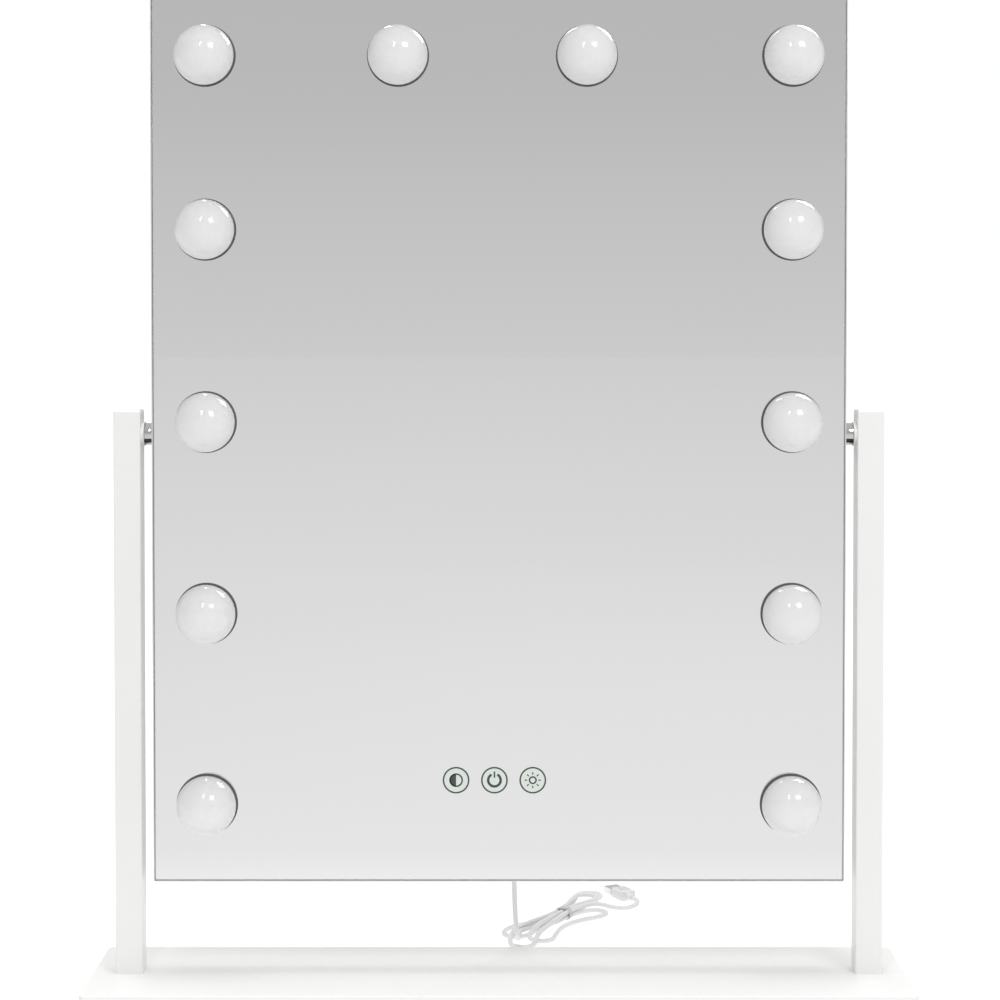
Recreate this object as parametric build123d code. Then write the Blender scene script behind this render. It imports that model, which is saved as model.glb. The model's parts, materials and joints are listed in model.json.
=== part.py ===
from build123d import *
import os
from math import pi, radians, sqrt, tan

os.makedirs("parts", exist_ok=True)

# Lighted mirror that tilts between two posts on a flat base.
# X runs to the user's right, Y away from the user and Z up. The origin is the
# centre of the base, on the table top. All sizes are in millimetres.

# ---------------------------------------------------------------- mirror head
HEAD_W = 460.0  # over the frame
HEAD_H = 600.0
HEAD_D = 26.0  # glass front to back panel
AXIS_TO_GLASS = 12.0  # tilt axis to the front of the glass
AXIS_BELOW_CENTRE = 2.0  # the tilt axis is a little under the middle of the head
HEAD_CORNER_R = 1.5
FRAME_WALL = 1.6
FRAME_LIP = 0.8  # thin lip that shows round the glass
SHELF_W = 9.0  # inner flanges that carry the glass and the back panel
SHELF_T = 1.5
GLASS_T = 4.0
GLASS_GAP = 0.2
GLASS_EDGE = 0.8  # polished edge
TAPE_T = 0.5
TAPE_W = 6.0
PANEL_T = 1.5
PANEL_GAP = 0.3
VENT_W = 26.0
VENT_H = 3.0
VENT_PITCH = 9.0
VENT_ROWS = 7
VENT_X = 60.0
VENT_ABOVE_AXIS = 150.0
PANEL_SCREW_PITCH = 190.0  # between the screws along the long sides
M3_R = 1.5
M3_HEAD_R = 2.8
M3_HEAD_T = 1.8
SCREW_CLEARANCE = 0.2

# ---------------------------------------------------------------- lamps
DOME_R = 19.7
DOME_AHEAD = 6.0  # widest circle of a dome, in front of the glass
DOME_WALL = 1.6
DOME_FLANGE_LAP = 2.3  # flange past the hole in the glass
DOME_FLANGE_T = 1.5
SEAL_T = 0.5  # seal's flange on the glass
SEAL_WALL = 0.7
SEAL_LAP = 0.8  # flange past the hole
SEAL_FIT = 0.1
HOLDER_WALL = 1.8
HOLDER_D = 8.0
HOLDER_GAP = 0.2
BOARD_T = 1.6
BOARD_GAP = 0.6
CHIP = 3.0
CHIP_T = 0.7
CHIP_RING_R = 10.0
CHIPS = 8
LAMP_SCREW_X = 15.0
LAMP_SCREW_R = 1.0
LAMP_SCREW_HEAD_R = 2.0
LAMP_SCREW_HEAD_T = 1.0
LAMP_TO_SIDE = 16.3  # outer domes to the sides of the head
LAMP_TO_END = 32.3  # first and last domes to the ends of the head
LAMP_ROW_UP = 114.5  # top row down to the second
TOP_LAMP_LEFT = 66.5  # inner lamps of the top row, from the middle
TOP_LAMP_RIGHT = 58.0

# ---------------------------------------------------------------- touch controls
TOUCH_X = -3.0  # middle control, from the middle of the head
TOUCH_PITCH = 25.5
TOUCH_ABOVE_EDGE = 68.0
TOUCH_R = 5.0
CONTROL_W = 110.0
CONTROL_H = 34.0
CONTROL_STANDOFF = 5.0  # glass to board
PILLAR_R = 3.0
LOOM_D = 2.4
TAIL_D = 1.6
LOOM_BEND_R = 22.0
LOOM_TO_LAMP = 3.0
LOOM_UNDER = 9.0  # loom's ends, under the control board

# ---------------------------------------------------------------- stand
HEAD_ABOVE_BASE = 63.0
POST_GAP = 8.0  # head to post
POST = 18.0  # square tube
POST_WALL = 1.2
POST_EDGE_R = 1.0
POST_ABOVE_AXIS = 16.5
CAP_T = 3.0
CAP_EDGE_R = 2.0
CAP_STEM = 10.0
STEM_FIT = 0.1
CAP_CLEARANCE = 0.6  # cap's stem to the pivot pieces inside the post
FOOT_BLOCK_H = 22.0
BASE_MARGIN = 16.0  # post to the end of the base
BASE_D = 118.0
BASE_T = 6.0
BASE_CORNER_R = 4.0
BASE_EDGE_R = 1.0
RUBBER_R = 9.0
RUBBER_T = 3.0
RUBBER_INSET = 20.0
M4_R = 2.0
M4_HEAD_R = 4.0
M4_HEAD_T = 2.2
M4_LENGTH = 22.0
FOOT_SCREW_EDGE = 0.9  # screw to the side of the foot block

# ---------------------------------------------------------------- tilt pivots
SHAFT_R = 3.0
SHAFT_END = 12.0  # shaft past the inner face of the post
THREAD_GAP = 0.05
RUNNING_FIT = 0.05
COLLAR_R = 7.25
COLLAR_L = 6.0
WASHER_R = 8.0
WASHER_BORE_GAP = 0.3
BUSH_R = 4.5
BUSH_FLANGE_GAP = 1.3  # bush flange to the walls of the post
BUSH_FLANGE_T = 1.5
DISC_R = 6.0
DISC_T = 1.0
DISC_GAP = 0.1
NUT_FLATS = 10.0
NUT_T = 6.0
PLUG_EDGE = 2.0  # hole plug to the edge of the post
PLUG_WALL = 1.2
PLUG_SLEEVE = 2.5
BRACKET_W = 9.0
BRACKET_H = 44.0
BRACKET_GAP = 0.2
BRACKET_SCREW_PITCH = 30.0
BRACKET_SCREW_L = 6.0
BRACKET_SCREW_HEAD_T = 0.9

# ---------------------------------------------------------------- supply lead
CORD_D = 3.5
SOCKET_X = 10.0
SOCKET_ABOVE_EDGE = 36.0
SOCKET_R = 5.5
SOCKET_FLANGE_R = 7.5
SOCKET_FLANGE_T = 1.2
SOCKET_DEPTH = 12.0
JACK_R = 2.75
JACK_L = 8.5
JACK_GAP = 0.1
ELBOW_R = 5.2
ELBOW_L = 9.0
BOOT_L = 20.0
BOOT_TOP_R = 4.2
BOOT_END_R = 2.6
USB_W = 13.0
USB_H = 8.0
USB_L = 17.0
USB_TURN = 27.0  # degrees, the plug's nose to the left of straight back
USB_TAIL = 6.0
USB_SHELL_W = 12.0
USB_SHELL_H = 4.5
USB_SHELL_L = 12.0
USB_SHELL_WALL = 0.5
USB_TONGUE_T = 1.8

# ---------------------------------------------------------------- places
BASE_BOTTOM = RUBBER_T
BASE_TOP = BASE_BOTTOM + BASE_T
HEAD_BOTTOM = BASE_TOP + HEAD_ABOVE_BASE
HEAD_TOP = HEAD_BOTTOM + HEAD_H
HEAD_MID_Z = HEAD_BOTTOM + HEAD_H / 2
AXIS_Z = HEAD_MID_Z - AXIS_BELOW_CENTRE
GLASS_FRONT = -AXIS_TO_GLASS
GLASS_BACK = GLASS_FRONT + GLASS_T
SHELF_FRONT = GLASS_BACK + TAPE_T
HEAD_BACK = GLASS_FRONT + HEAD_D
PANEL_FRONT = HEAD_BACK - PANEL_T
HEAD_SIDE = HEAD_W / 2
POST_IN = HEAD_SIDE + POST_GAP
POST_OUT = POST_IN + POST
POST_MID = POST_IN + POST / 2
POST_BORE = POST - 2 * POST_WALL
STEM = POST_BORE - 2 * STEM_FIT
BUSH_FLANGE_R = POST_BORE / 2 - BUSH_FLANGE_GAP
PLUG_R = POST / 2 - PLUG_EDGE
POST_TOP = AXIS_Z + POST_ABOVE_AXIS
BASE_W = 2 * (POST_OUT + BASE_MARGIN)
NECK_R = sqrt(DOME_R**2 - (DOME_AHEAD - SEAL_T) ** 2)
NECK_BORE_R = sqrt((DOME_R - DOME_WALL) ** 2 - (DOME_AHEAD - SEAL_T) ** 2)
HOLE_R = NECK_R + SEAL_WALL + SEAL_FIT
DOME_FLANGE_R = HOLE_R + DOME_FLANGE_LAP
LAMP_X = HEAD_SIDE - LAMP_TO_SIDE - DOME_R
LAMP_TOP = HEAD_TOP - LAMP_TO_END - DOME_R
LAMP_BOTTOM = HEAD_BOTTOM + LAMP_TO_END + DOME_R
LAMP_ROW = (LAMP_TOP - LAMP_BOTTOM - LAMP_ROW_UP) / 3
LAMP_ROWS = [
    LAMP_TOP,
    LAMP_TOP - LAMP_ROW_UP,
    LAMP_TOP - LAMP_ROW_UP - LAMP_ROW,
    LAMP_TOP - LAMP_ROW_UP - 2 * LAMP_ROW,
    LAMP_BOTTOM,
]
LAMPS = [(-LAMP_X, z) for z in reversed(LAMP_ROWS)]
LAMPS += [(-TOP_LAMP_LEFT, LAMP_TOP), (TOP_LAMP_RIGHT, LAMP_TOP)]
LAMPS += [(LAMP_X, z) for z in LAMP_ROWS]
HOLDER_R = DOME_FLANGE_R + HOLDER_GAP + HOLDER_WALL
TOUCH_Z = HEAD_BOTTOM + TOUCH_ABOVE_EDGE
SOCKET_Z = HEAD_BOTTOM + SOCKET_ABOVE_EDGE
ELBOW_MID = HEAD_BACK + SOCKET_FLANGE_T + ELBOW_L / 2
BOOT_END_Z = SOCKET_Z - BOOT_L

# The lead lies where it was put down, so its points stay as chosen, apart from
# the first two, which hang straight under the boot of the elbow plug.
CORD_DROP = [
    (SOCKET_X, ELBOW_MID, BOOT_END_Z),
    (SOCKET_X, ELBOW_MID, BOOT_END_Z - 12.0),
    (10.4, 25.5, 61.0),
    (10.9, 35.5, 44.0),
    (11.6, 50.0, 28.5),
    (12.5, 67.0, 15.0),
    (13.6, 84.5, 5.6),
    (15.2, 100.0, 2.2),
]
CORD_LEAD = [
    (71.0, 198.6, 3.0),
    (78.0, 194.8, 2.2),
    (86.0, 192.1, 1.75),
    (94.37, 191.13, 1.75),
    (101.04, 194.1, 2.2),
    (105.174, 200.0, 3.1),
    (105.669, 207.085, 4.0),
    (102.4, 213.5, 4.0),
]

# The lead's spare length is folded into a loose tied hank. Two outlines hold
# its fanned loops, before and behind the tie.
HANK_T = 9.0
HANK_NEAR = [
    (2.0, 110.0),
    (3.5, 99.0),
    (13.0, 84.0),
    (22.0, 79.5),
    (36.0, 85.0),
    (42.5, 98.0),
    (51.5, 158.0),
    (40.5, 162.5),
    (10.0, 130.0),
]
HANK_FAR = [
    (46.5, 175.5),
    (56.0, 170.5),
    (60.0, 150.5),
    (74.0, 150.5),
    (84.0, 166.0),
    (83.0, 187.0),
    (78.5, 203.0),
    (81.5, 217.0),
    (76.0, 230.5),
    (67.0, 231.0),
    (58.0, 215.0),
]
TIE_AT = (48.0, 166.5)
TIE_TURN = -20.0  # degrees, the hank's line from straight back
TIE_W = 5.0
TIE_T = 0.8
WAIST_W = 11.0
WAIST_L = 20.0
WAIST_H = 9.6


# ---------------------------------------------------------------- helpers
def block(x0, x1, y0, y1, z0, z1):
    """Box between two corners."""
    size = Box(x1 - x0, y1 - y0, z1 - z0)
    return Pos((x0 + x1) / 2, (y0 + y1) / 2, (z0 + z1) / 2) * size


def rod_x(radius, x0, x1, z=AXIS_Z, y=0.0):
    """Round bar along X."""
    return Pos((x0 + x1) / 2, y, z) * Rot(0, 90, 0) * Cylinder(radius, x1 - x0)


def rod_y(radius, y0, y1, x, z):
    """Round bar along Y."""
    return Pos(x, (y0 + y1) / 2, z) * Rot(90, 0, 0) * Cylinder(radius, y1 - y0)


def rod_z(radius, z0, z1, x, y):
    """Round bar along Z."""
    return Pos(x, y, (z0 + z1) / 2) * Cylinder(radius, z1 - z0)


def inside_head(inset, y0, y1):
    """Block that stays the same distance inside the head's four sides."""
    side = HEAD_SIDE - inset
    return block(-side, side, y0, y1, HEAD_BOTTOM + inset, HEAD_TOP - inset)


def cut(shape, holes):
    """Shape without each of the holes."""
    for hole in holes:
        shape -= hole
    return shape


def save(name, *solids):
    """Write one node; a group of like pieces stays separate solids."""
    shape = solids[0] if len(solids) == 1 else Compound(list(solids))
    export_step(shape, f"parts/{name}.step")


def save_pair(name, right):
    """Write a right-hand piece and its mirror image on the left."""
    save(f"right_{name}", right)
    save(f"left_{name}", right.mirror(Plane.YZ))


def save_both(name, right):
    """Write a small right-hand piece and its mirror image in one node."""
    save(name, right, right.mirror(Plane.YZ))


# ---------------------------------------------------------------- base and posts
FOOT_SCREW_OFF = STEM / 2 - FOOT_SCREW_EDGE - M4_R
FOOT_SCREWS = [(POST_MID + k, k) for k in (-FOOT_SCREW_OFF, FOOT_SCREW_OFF)]


def foot_screw(x, y, gap=0.0):
    """Countersunk screw from under the base into a post; gap makes its hole."""
    shank = rod_z(M4_R + gap, BASE_BOTTOM, BASE_BOTTOM + M4_LENGTH, x, y)
    sink = Cone(M4_HEAD_R + gap, M4_R + gap, M4_HEAD_T)
    return shank + Pos(x, y, BASE_BOTTOM + M4_HEAD_T / 2) * sink


def base_plate():
    half_w, half_d = BASE_W / 2, BASE_D / 2
    plate = block(-half_w, half_w, -half_d, half_d, BASE_BOTTOM, BASE_TOP)
    plate = fillet(plate.edges().filter_by(Axis.Z), BASE_CORNER_R)
    plate = fillet(plate.faces().sort_by(Axis.Z)[-1].edges(), BASE_EDGE_R)
    holes = [foot_screw(s * x, y, SCREW_CLEARANCE) for x, y in FOOT_SCREWS for s in (-1, 1)]
    return cut(plate, holes)


def rubber_feet():
    x = BASE_W / 2 - RUBBER_INSET
    y = BASE_D / 2 - RUBBER_INSET
    places = [(sx * x, sy * y) for sx in (-1, 1) for sy in (-1, 1)]
    return [rod_z(RUBBER_R, 0.0, RUBBER_T, *place) for place in places]


def square_bar(size, z0, z1, edge_r):
    """Square bar upright in the middle of the right post."""
    half = size / 2
    bar = block(POST_MID - half, POST_MID + half, -half, half, z0, z1)
    return fillet(bar.edges().filter_by(Axis.Z), edge_r)


STEM_EDGE_R = 0.6


def post():
    tube = square_bar(POST, BASE_TOP, POST_TOP - CAP_T, POST_EDGE_R)
    bore = square_bar(POST_BORE, BASE_TOP, POST_TOP - CAP_T, STEM_EDGE_R)
    pivot_hole = rod_x(BUSH_R, POST_IN - 1, POST_IN + POST_WALL + 1)
    access_hole = rod_x(PLUG_R, POST_OUT - POST_WALL - 1, POST_OUT + 1)
    return tube - bore - pivot_hole - access_hole


def post_cap():
    top = square_bar(POST, POST_TOP - CAP_T, POST_TOP, POST_EDGE_R)
    top = fillet(top.faces().sort_by(Axis.Z)[-1].edges(), min(CAP_EDGE_R, CAP_T * 0.7))
    stem_bottom = max(POST_TOP - CAP_T - CAP_STEM, AXIS_Z + PLUG_R + CAP_CLEARANCE)
    return top + square_bar(STEM, stem_bottom, POST_TOP - CAP_T, STEM_EDGE_R)


def foot_block():
    solid = square_bar(STEM, BASE_TOP, BASE_TOP + FOOT_BLOCK_H, STEM_EDGE_R)
    return cut(solid, [foot_screw(x, y, THREAD_GAP) for x, y in FOOT_SCREWS])


save("base_plate", base_plate())
save("rubber_feet", *rubber_feet())
save_pair("post", post())
save_pair("post_cap", post_cap())
save_pair("foot_block", foot_block())
save("foot_screws", *[foot_screw(s * x, y) for x, y in FOOT_SCREWS for s in (-1, 1)])


# ---------------------------------------------------------------- tilt pivots
COLLAR_END = HEAD_SIDE + COLLAR_L
BUSH_END = POST_IN + POST_WALL + BUSH_FLANGE_T
DISC_START = BUSH_END + DISC_GAP
NUT_START = DISC_START + DISC_T
SHAFT_START = HEAD_SIDE - FRAME_WALL - BRACKET_GAP - BRACKET_W
BRACKET_SCREWS = [AXIS_Z + k * BRACKET_SCREW_PITCH for k in (-0.5, 0.5)]


def pivot_washer():
    disc = rod_x(WASHER_R, COLLAR_END, POST_IN)
    return disc - rod_x(SHAFT_R + WASHER_BORE_GAP, COLLAR_END - 1, POST_IN + 1)


def pivot_bush():
    barrel = rod_x(BUSH_R, POST_IN, BUSH_END)
    flange = rod_x(BUSH_FLANGE_R, POST_IN + POST_WALL, BUSH_END)
    return barrel + flange - rod_x(SHAFT_R + RUNNING_FIT, POST_IN - 1, BUSH_END + 1)


def disc_spring():
    disc = rod_x(DISC_R, DISC_START, NUT_START)
    return disc - rod_x(SHAFT_R + THREAD_GAP, DISC_START - 1, NUT_START + 1)


def lock_nut():
    hexagon = extrude(RegularPolygon(NUT_FLATS / sqrt(3), 6), amount=NUT_T)
    nut = Pos(NUT_START, 0, AXIS_Z) * Rot(0, 90, 0) * hexagon
    return nut - rod_x(SHAFT_R + THREAD_GAP, NUT_START - 1, NUT_START + NUT_T + 1)


def collar():
    ring = rod_x(COLLAR_R, HEAD_SIDE, COLLAR_END)
    ring = chamfer(ring.edges().filter_by(GeomType.CIRCLE), 0.5)
    return ring - rod_x(SHAFT_R + THREAD_GAP, HEAD_SIDE - 1, COLLAR_END + 1)


def hole_plug():
    disc = rod_x(PLUG_R, POST_OUT - POST_WALL, POST_OUT)
    sleeve_end = POST_OUT - POST_WALL - PLUG_SLEEVE
    sleeve = rod_x(PLUG_R - STEM_FIT, sleeve_end, POST_OUT - POST_WALL)
    hollow = rod_x(PLUG_R - STEM_FIT - PLUG_WALL, sleeve_end - 1, POST_OUT - POST_WALL)
    return disc + (sleeve - hollow)


def pivot_bracket():
    x1 = HEAD_SIDE - FRAME_WALL - BRACKET_GAP
    y0, y1 = SHELF_FRONT + SHELF_T, PANEL_FRONT - SHELF_T
    z0, z1 = AXIS_Z - BRACKET_H / 2, AXIS_Z + BRACKET_H / 2
    solid = block(x1 - BRACKET_W, x1, y0, y1, z0, z1)
    solid -= rod_x(SHAFT_R + THREAD_GAP, x1 - BRACKET_W - 1, x1 + 1)
    return cut(solid, [bracket_screw(z, THREAD_GAP) for z in BRACKET_SCREWS])


def bracket_screw(z, gap=0.0):
    """Thin head let into the side of the frame, shank into the bracket."""
    under_head = HEAD_SIDE - BRACKET_SCREW_HEAD_T
    head = rod_x(M3_HEAD_R + gap, under_head, HEAD_SIDE, z)
    return head + rod_x(M3_R + gap, HEAD_SIDE - FRAME_WALL - BRACKET_SCREW_L, under_head, z)


save_both("pivot_washers", pivot_washer())
save_both("pivot_bushes", pivot_bush())
save_both("disc_springs", disc_spring())
save_both("lock_nuts", lock_nut())
save_both("post_hole_plugs", hole_plug())
save_pair("collar", collar())
save_pair("pivot_shaft", rod_x(SHAFT_R, SHAFT_START, POST_IN + SHAFT_END))
save_pair("pivot_bracket", pivot_bracket())

right_screws = [bracket_screw(z) for z in BRACKET_SCREWS]
save("bracket_screws", *right_screws, *[s.mirror(Plane.YZ) for s in right_screws])


# ---------------------------------------------------------------- frame, glass and back
def panel_screw_places():
    """Screws round the back panel, in the middle of the rear flange."""
    inset = SHELF_W / 2 + FRAME_WALL / 2
    x, bottom, top = HEAD_SIDE - inset, HEAD_BOTTOM + inset, HEAD_TOP - inset
    rows = [HEAD_MID_Z + k * PANEL_SCREW_PITCH for k in (-0.5, 0.5)]
    sides = [(s * x, z) for s in (-1, 1) for z in [bottom, *rows, top]]
    return sides + [(0.0, bottom), (0.0, top)]


def panel_screw(x, z, gap=0.0):
    shank = rod_y(M3_R + gap, PANEL_FRONT - SHELF_T - 2.0, HEAD_BACK, x, z)
    head = rod_y(M3_HEAD_R + gap, HEAD_BACK, HEAD_BACK + M3_HEAD_T, x, z)
    if gap == 0.0:
        head = fillet(head.edges().sort_by(Axis.Y)[-1:], M3_HEAD_T * 0.6)
    return shank + head


PANEL_SCREWS = panel_screw_places()


def head_frame():
    frame = inside_head(0.0, GLASS_FRONT, HEAD_BACK)
    frame = fillet(frame.edges().filter_by(Axis.Y), HEAD_CORNER_R)
    frame -= inside_head(FRAME_LIP, GLASS_FRONT - 1, SHELF_FRONT)
    frame -= inside_head(SHELF_W, GLASS_FRONT - 1, HEAD_BACK + 1)
    frame -= inside_head(FRAME_WALL, SHELF_FRONT + SHELF_T, PANEL_FRONT - SHELF_T)
    frame -= inside_head(FRAME_WALL, PANEL_FRONT, HEAD_BACK + 1)
    frame = cut(frame, [panel_screw(x, z, THREAD_GAP) for x, z in PANEL_SCREWS])
    for side in (-1, 1):
        hole = rod_x(SHAFT_R + SCREW_CLEARANCE, HEAD_SIDE - 5, HEAD_SIDE + 1)
        screws = [bracket_screw(z, THREAD_GAP) for z in BRACKET_SCREWS]
        for tool in [hole, *screws]:
            frame -= tool if side > 0 else tool.mirror(Plane.YZ)
    return frame


def mirror_glass():
    glass = inside_head(FRAME_LIP + GLASS_GAP, GLASS_FRONT, GLASS_BACK)
    glass = chamfer(glass.faces().sort_by(Axis.Y)[0].edges(), GLASS_EDGE)
    return cut(glass, [rod_y(HOLE_R, GLASS_FRONT - 1, GLASS_BACK + 1, x, z) for x, z in LAMPS])


def glass_tape():
    outer = inside_head(SHELF_W - TAPE_W - 1.0, GLASS_BACK, SHELF_FRONT)
    return outer - inside_head(SHELF_W - 1.0, GLASS_BACK - 1, SHELF_FRONT + 1)


def vents():
    """Slots for the heat of the lamps, in two columns."""
    slot = extrude(Plane.XZ * SlotOverall(VENT_W, VENT_H), amount=10, both=True)
    rows = [k - (VENT_ROWS - 1) / 2 for k in range(VENT_ROWS)]
    z = AXIS_Z + VENT_ABOVE_AXIS
    return [Pos(s * VENT_X, HEAD_BACK, z + k * VENT_PITCH) * slot for s in (-1, 1) for k in rows]


def back_panel():
    panel = inside_head(FRAME_WALL + PANEL_GAP, PANEL_FRONT, HEAD_BACK)
    socket = rod_y(SOCKET_R + SCREW_CLEARANCE, PANEL_FRONT - 1, HEAD_BACK + 1, SOCKET_X, SOCKET_Z)
    screws = [panel_screw(x, z, SCREW_CLEARANCE) for x, z in PANEL_SCREWS]
    return cut(panel, [socket, *vents(), *screws])


save("head_frame", head_frame())
save("mirror_glass", mirror_glass())
save("glass_tape", glass_tape())
save("back_panel", back_panel())
save("back_panel_screws", *[panel_screw(x, z) for x, z in PANEL_SCREWS])


# ---------------------------------------------------------------- lamps
# Each lamp piece is made with its axis on Y through the origin.
def lamp_dome():
    """Hollow dome; its neck passes the glass and its flange lies behind it."""
    place = Pos(0, GLASS_FRONT - DOME_AHEAD, 0) * Rot(90, 0, 0)
    seat = GLASS_FRONT - SEAL_T
    back = GLASS_BACK + DOME_FLANGE_T
    behind = block(-2 * DOME_R, 2 * DOME_R, seat, seat + 3 * DOME_R, -2 * DOME_R, 2 * DOME_R)
    dome = place * Sphere(DOME_R) - behind
    dome += rod_y(NECK_R, seat, back, 0, 0) + rod_y(DOME_FLANGE_R, GLASS_BACK, back, 0, 0)
    hollow = place * Sphere(DOME_R - DOME_WALL) - behind
    return dome - hollow - rod_y(NECK_BORE_R, seat, back + 1, 0, 0)


def lamp_seal():
    """Dark ring between a dome and the glass."""
    flange = rod_y(HOLE_R + SEAL_LAP, GLASS_FRONT - SEAL_T, GLASS_FRONT, 0, 0)
    sleeve = rod_y(HOLE_R - SEAL_FIT / 2, GLASS_FRONT, GLASS_BACK, 0, 0)
    bore = rod_y(NECK_R + SEAL_FIT / 2, GLASS_FRONT - SEAL_T - 1, GLASS_BACK + 1, 0, 0)
    return flange + sleeve - bore


FLOOR_FRONT = GLASS_BACK + HOLDER_D - HOLDER_WALL


def lamp_screw(side, gap=0.0):
    """Screw through the board into the holder; gap makes its hole."""
    x = side * LAMP_SCREW_X
    y = FLOOR_FRONT - BOARD_T
    head = rod_y(LAMP_SCREW_HEAD_R + gap, y - LAMP_SCREW_HEAD_T, y, x, 0)
    return head + rod_y(LAMP_SCREW_R + gap, y, FLOOR_FRONT + HOLDER_WALL, x, 0)


def lamp_holder():
    """Cup glued to the back of the glass, open to the front."""
    cup = rod_y(HOLDER_R, GLASS_BACK, FLOOR_FRONT + HOLDER_WALL, 0, 0)
    cup -= rod_y(HOLDER_R - HOLDER_WALL, GLASS_BACK - 1, FLOOR_FRONT, 0, 0)
    return cut(cup, [lamp_screw(s, THREAD_GAP) for s in (-1, 1)])


def led_board():
    """Round board with a ring of light chips and one in the middle."""
    radius = HOLDER_R - HOLDER_WALL - BOARD_GAP
    board = rod_y(radius, FLOOR_FRONT - BOARD_T, FLOOR_FRONT, 0, 0)
    board = cut(board, [lamp_screw(s, SCREW_CLEARANCE) for s in (-1, 1)])
    y = FLOOR_FRONT - BOARD_T - CHIP_T / 2
    chip = Box(CHIP, CHIP_T, CHIP)
    for k in range(CHIPS):
        turn = Rot(0, (k + 0.5) * 360 / CHIPS, 0)
        board += turn * Pos(CHIP_RING_R, y, 0) * chip
    return board + Pos(0, y, 0) * chip


def at_lamps(piece):
    """Copies of a lamp piece, one at each lamp."""
    return [Pos(x, 0, z) * piece for x, z in LAMPS]


for number, dome in enumerate(at_lamps(lamp_dome()), start=1):
    save(f"lamp_dome_{number:02d}", dome)
save("lamp_seals", *at_lamps(lamp_seal()))
save("lamp_holders", *at_lamps(lamp_holder()))
save("led_boards", *at_lamps(led_board()))
save("lamp_screws", *at_lamps(lamp_screw(-1)), *at_lamps(lamp_screw(1)))


# ---------------------------------------------------------------- controls and wiring
BOARD_FRONT = GLASS_BACK + CONTROL_STANDOFF
PILLAR_INSET = 5.0
PILLARS = [
    (TOUCH_X + sx * (CONTROL_W / 2 - PILLAR_INSET), TOUCH_Z + sz * (CONTROL_H / 2 - PILLAR_INSET))
    for sx in (-1, 1)
    for sz in (-1, 1)
]
LOOM_Y = GLASS_BACK + LOOM_D / 2
LOOM_X = LAMP_X - HOLDER_R - LOOM_TO_LAMP
LOOM_TOP = LAMP_TOP - HOLDER_R - LOOM_TO_LAMP


def control_board():
    left, right = TOUCH_X - CONTROL_W / 2, TOUCH_X + CONTROL_W / 2
    bottom, top = TOUCH_Z - CONTROL_H / 2, TOUCH_Z + CONTROL_H / 2
    board = block(left, right, BOARD_FRONT, BOARD_FRONT + BOARD_T, bottom, top)
    holes = [rod_y(M3_R, BOARD_FRONT - 1, BOARD_FRONT + 3, x, z) for x, z in PILLARS]
    board = cut(board, holes)
    back = BOARD_FRONT + BOARD_T
    driver = block(left + 14, left + 24, back, back + 1.8, TOUCH_Z - 5, TOUCH_Z + 5)
    coil = rod_y(5.0, back, back + 4.5, right - 22, TOUCH_Z + 2)
    terminal = block(right - 45, right - 33, back, back + 5.0, bottom + 2, bottom + 9)
    return board + driver + coil + terminal


def pillar(x, z):
    """Stuck to the glass, with a stud through the board."""
    return rod_y(PILLAR_R, GLASS_BACK, BOARD_FRONT, x, z) + rod_y(
        M3_R - 0.1, BOARD_FRONT, BOARD_FRONT + BOARD_T + 1.0, x, z
    )


def touch_pad(k):
    """Sprung touch pad, pressed on the back of the glass behind its mark."""
    x = TOUCH_X + k * TOUCH_PITCH
    pad = rod_y(TOUCH_R, GLASS_BACK, GLASS_BACK + 1.0, x, TOUCH_Z)
    return pad + rod_y(TOUCH_R * 0.6, GLASS_BACK + 1.0, BOARD_FRONT, x, TOUCH_Z)


def wiring_loom():
    """Lamp wiring, stuck to the back of the glass inside the ring of lamps."""
    start, end = TOUCH_X - CONTROL_W / 2 + LOOM_UNDER, TOUCH_X + CONTROL_W / 2 - LOOM_UNDER
    points = [
        (start, LOOM_Y, TOUCH_Z),
        (-LOOM_X, LOOM_Y, TOUCH_Z),
        (-LOOM_X, LOOM_Y, LOOM_TOP),
        (LOOM_X, LOOM_Y, LOOM_TOP),
        (LOOM_X, LOOM_Y, TOUCH_Z),
        (end, LOOM_Y, TOUCH_Z),
    ]
    path = FilletPolyline(*points, radius=[LOOM_BEND_R] * 4)
    return sweep(Plane(origin=path @ 0, z_dir=path % 0) * Circle(LOOM_D / 2), path=path)


def wire(start, end, radius):
    """Straight wire between two points."""
    run = end - start
    return extrude(Plane(origin=start, z_dir=run.normalized()) * Circle(radius), amount=run.length)


def lamp_tail(x, z):
    """Short pair of wires from the loom to one lamp."""
    radius = TAIL_D / 2
    side = 1 if x > 0 else -1
    if abs(x) < LAMP_X:
        return rod_z(radius, LOOM_TOP + LOOM_D / 2, z - HOLDER_R, x, LOOM_Y)
    if z < LAMP_TOP:
        ends = sorted((side * (LOOM_X + LOOM_D / 2), side * (LAMP_X - HOLDER_R)))
        return rod_x(radius, *ends, z=z, y=LOOM_Y)
    lamp = Vector(x, LOOM_Y, z)
    start = Vector(side * (LOOM_X - LOOM_BEND_R), LOOM_Y, LOOM_TOP + LOOM_D / 2 + radius)
    return wire(start, lamp + (start - lamp).normalized() * HOLDER_R, radius)


def socket():
    """Round supply socket in the back panel, its mouth to the rear."""
    mouth = HEAD_BACK + SOCKET_FLANGE_T
    inner = mouth - SOCKET_DEPTH
    body = rod_y(SOCKET_R, inner, mouth, SOCKET_X, SOCKET_Z)
    body += rod_y(SOCKET_FLANGE_R, HEAD_BACK, mouth, SOCKET_X, SOCKET_Z)
    bore = rod_y(JACK_R + JACK_GAP, mouth - JACK_L - 0.5, mouth + 1, SOCKET_X, SOCKET_Z)
    return body - bore


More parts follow.
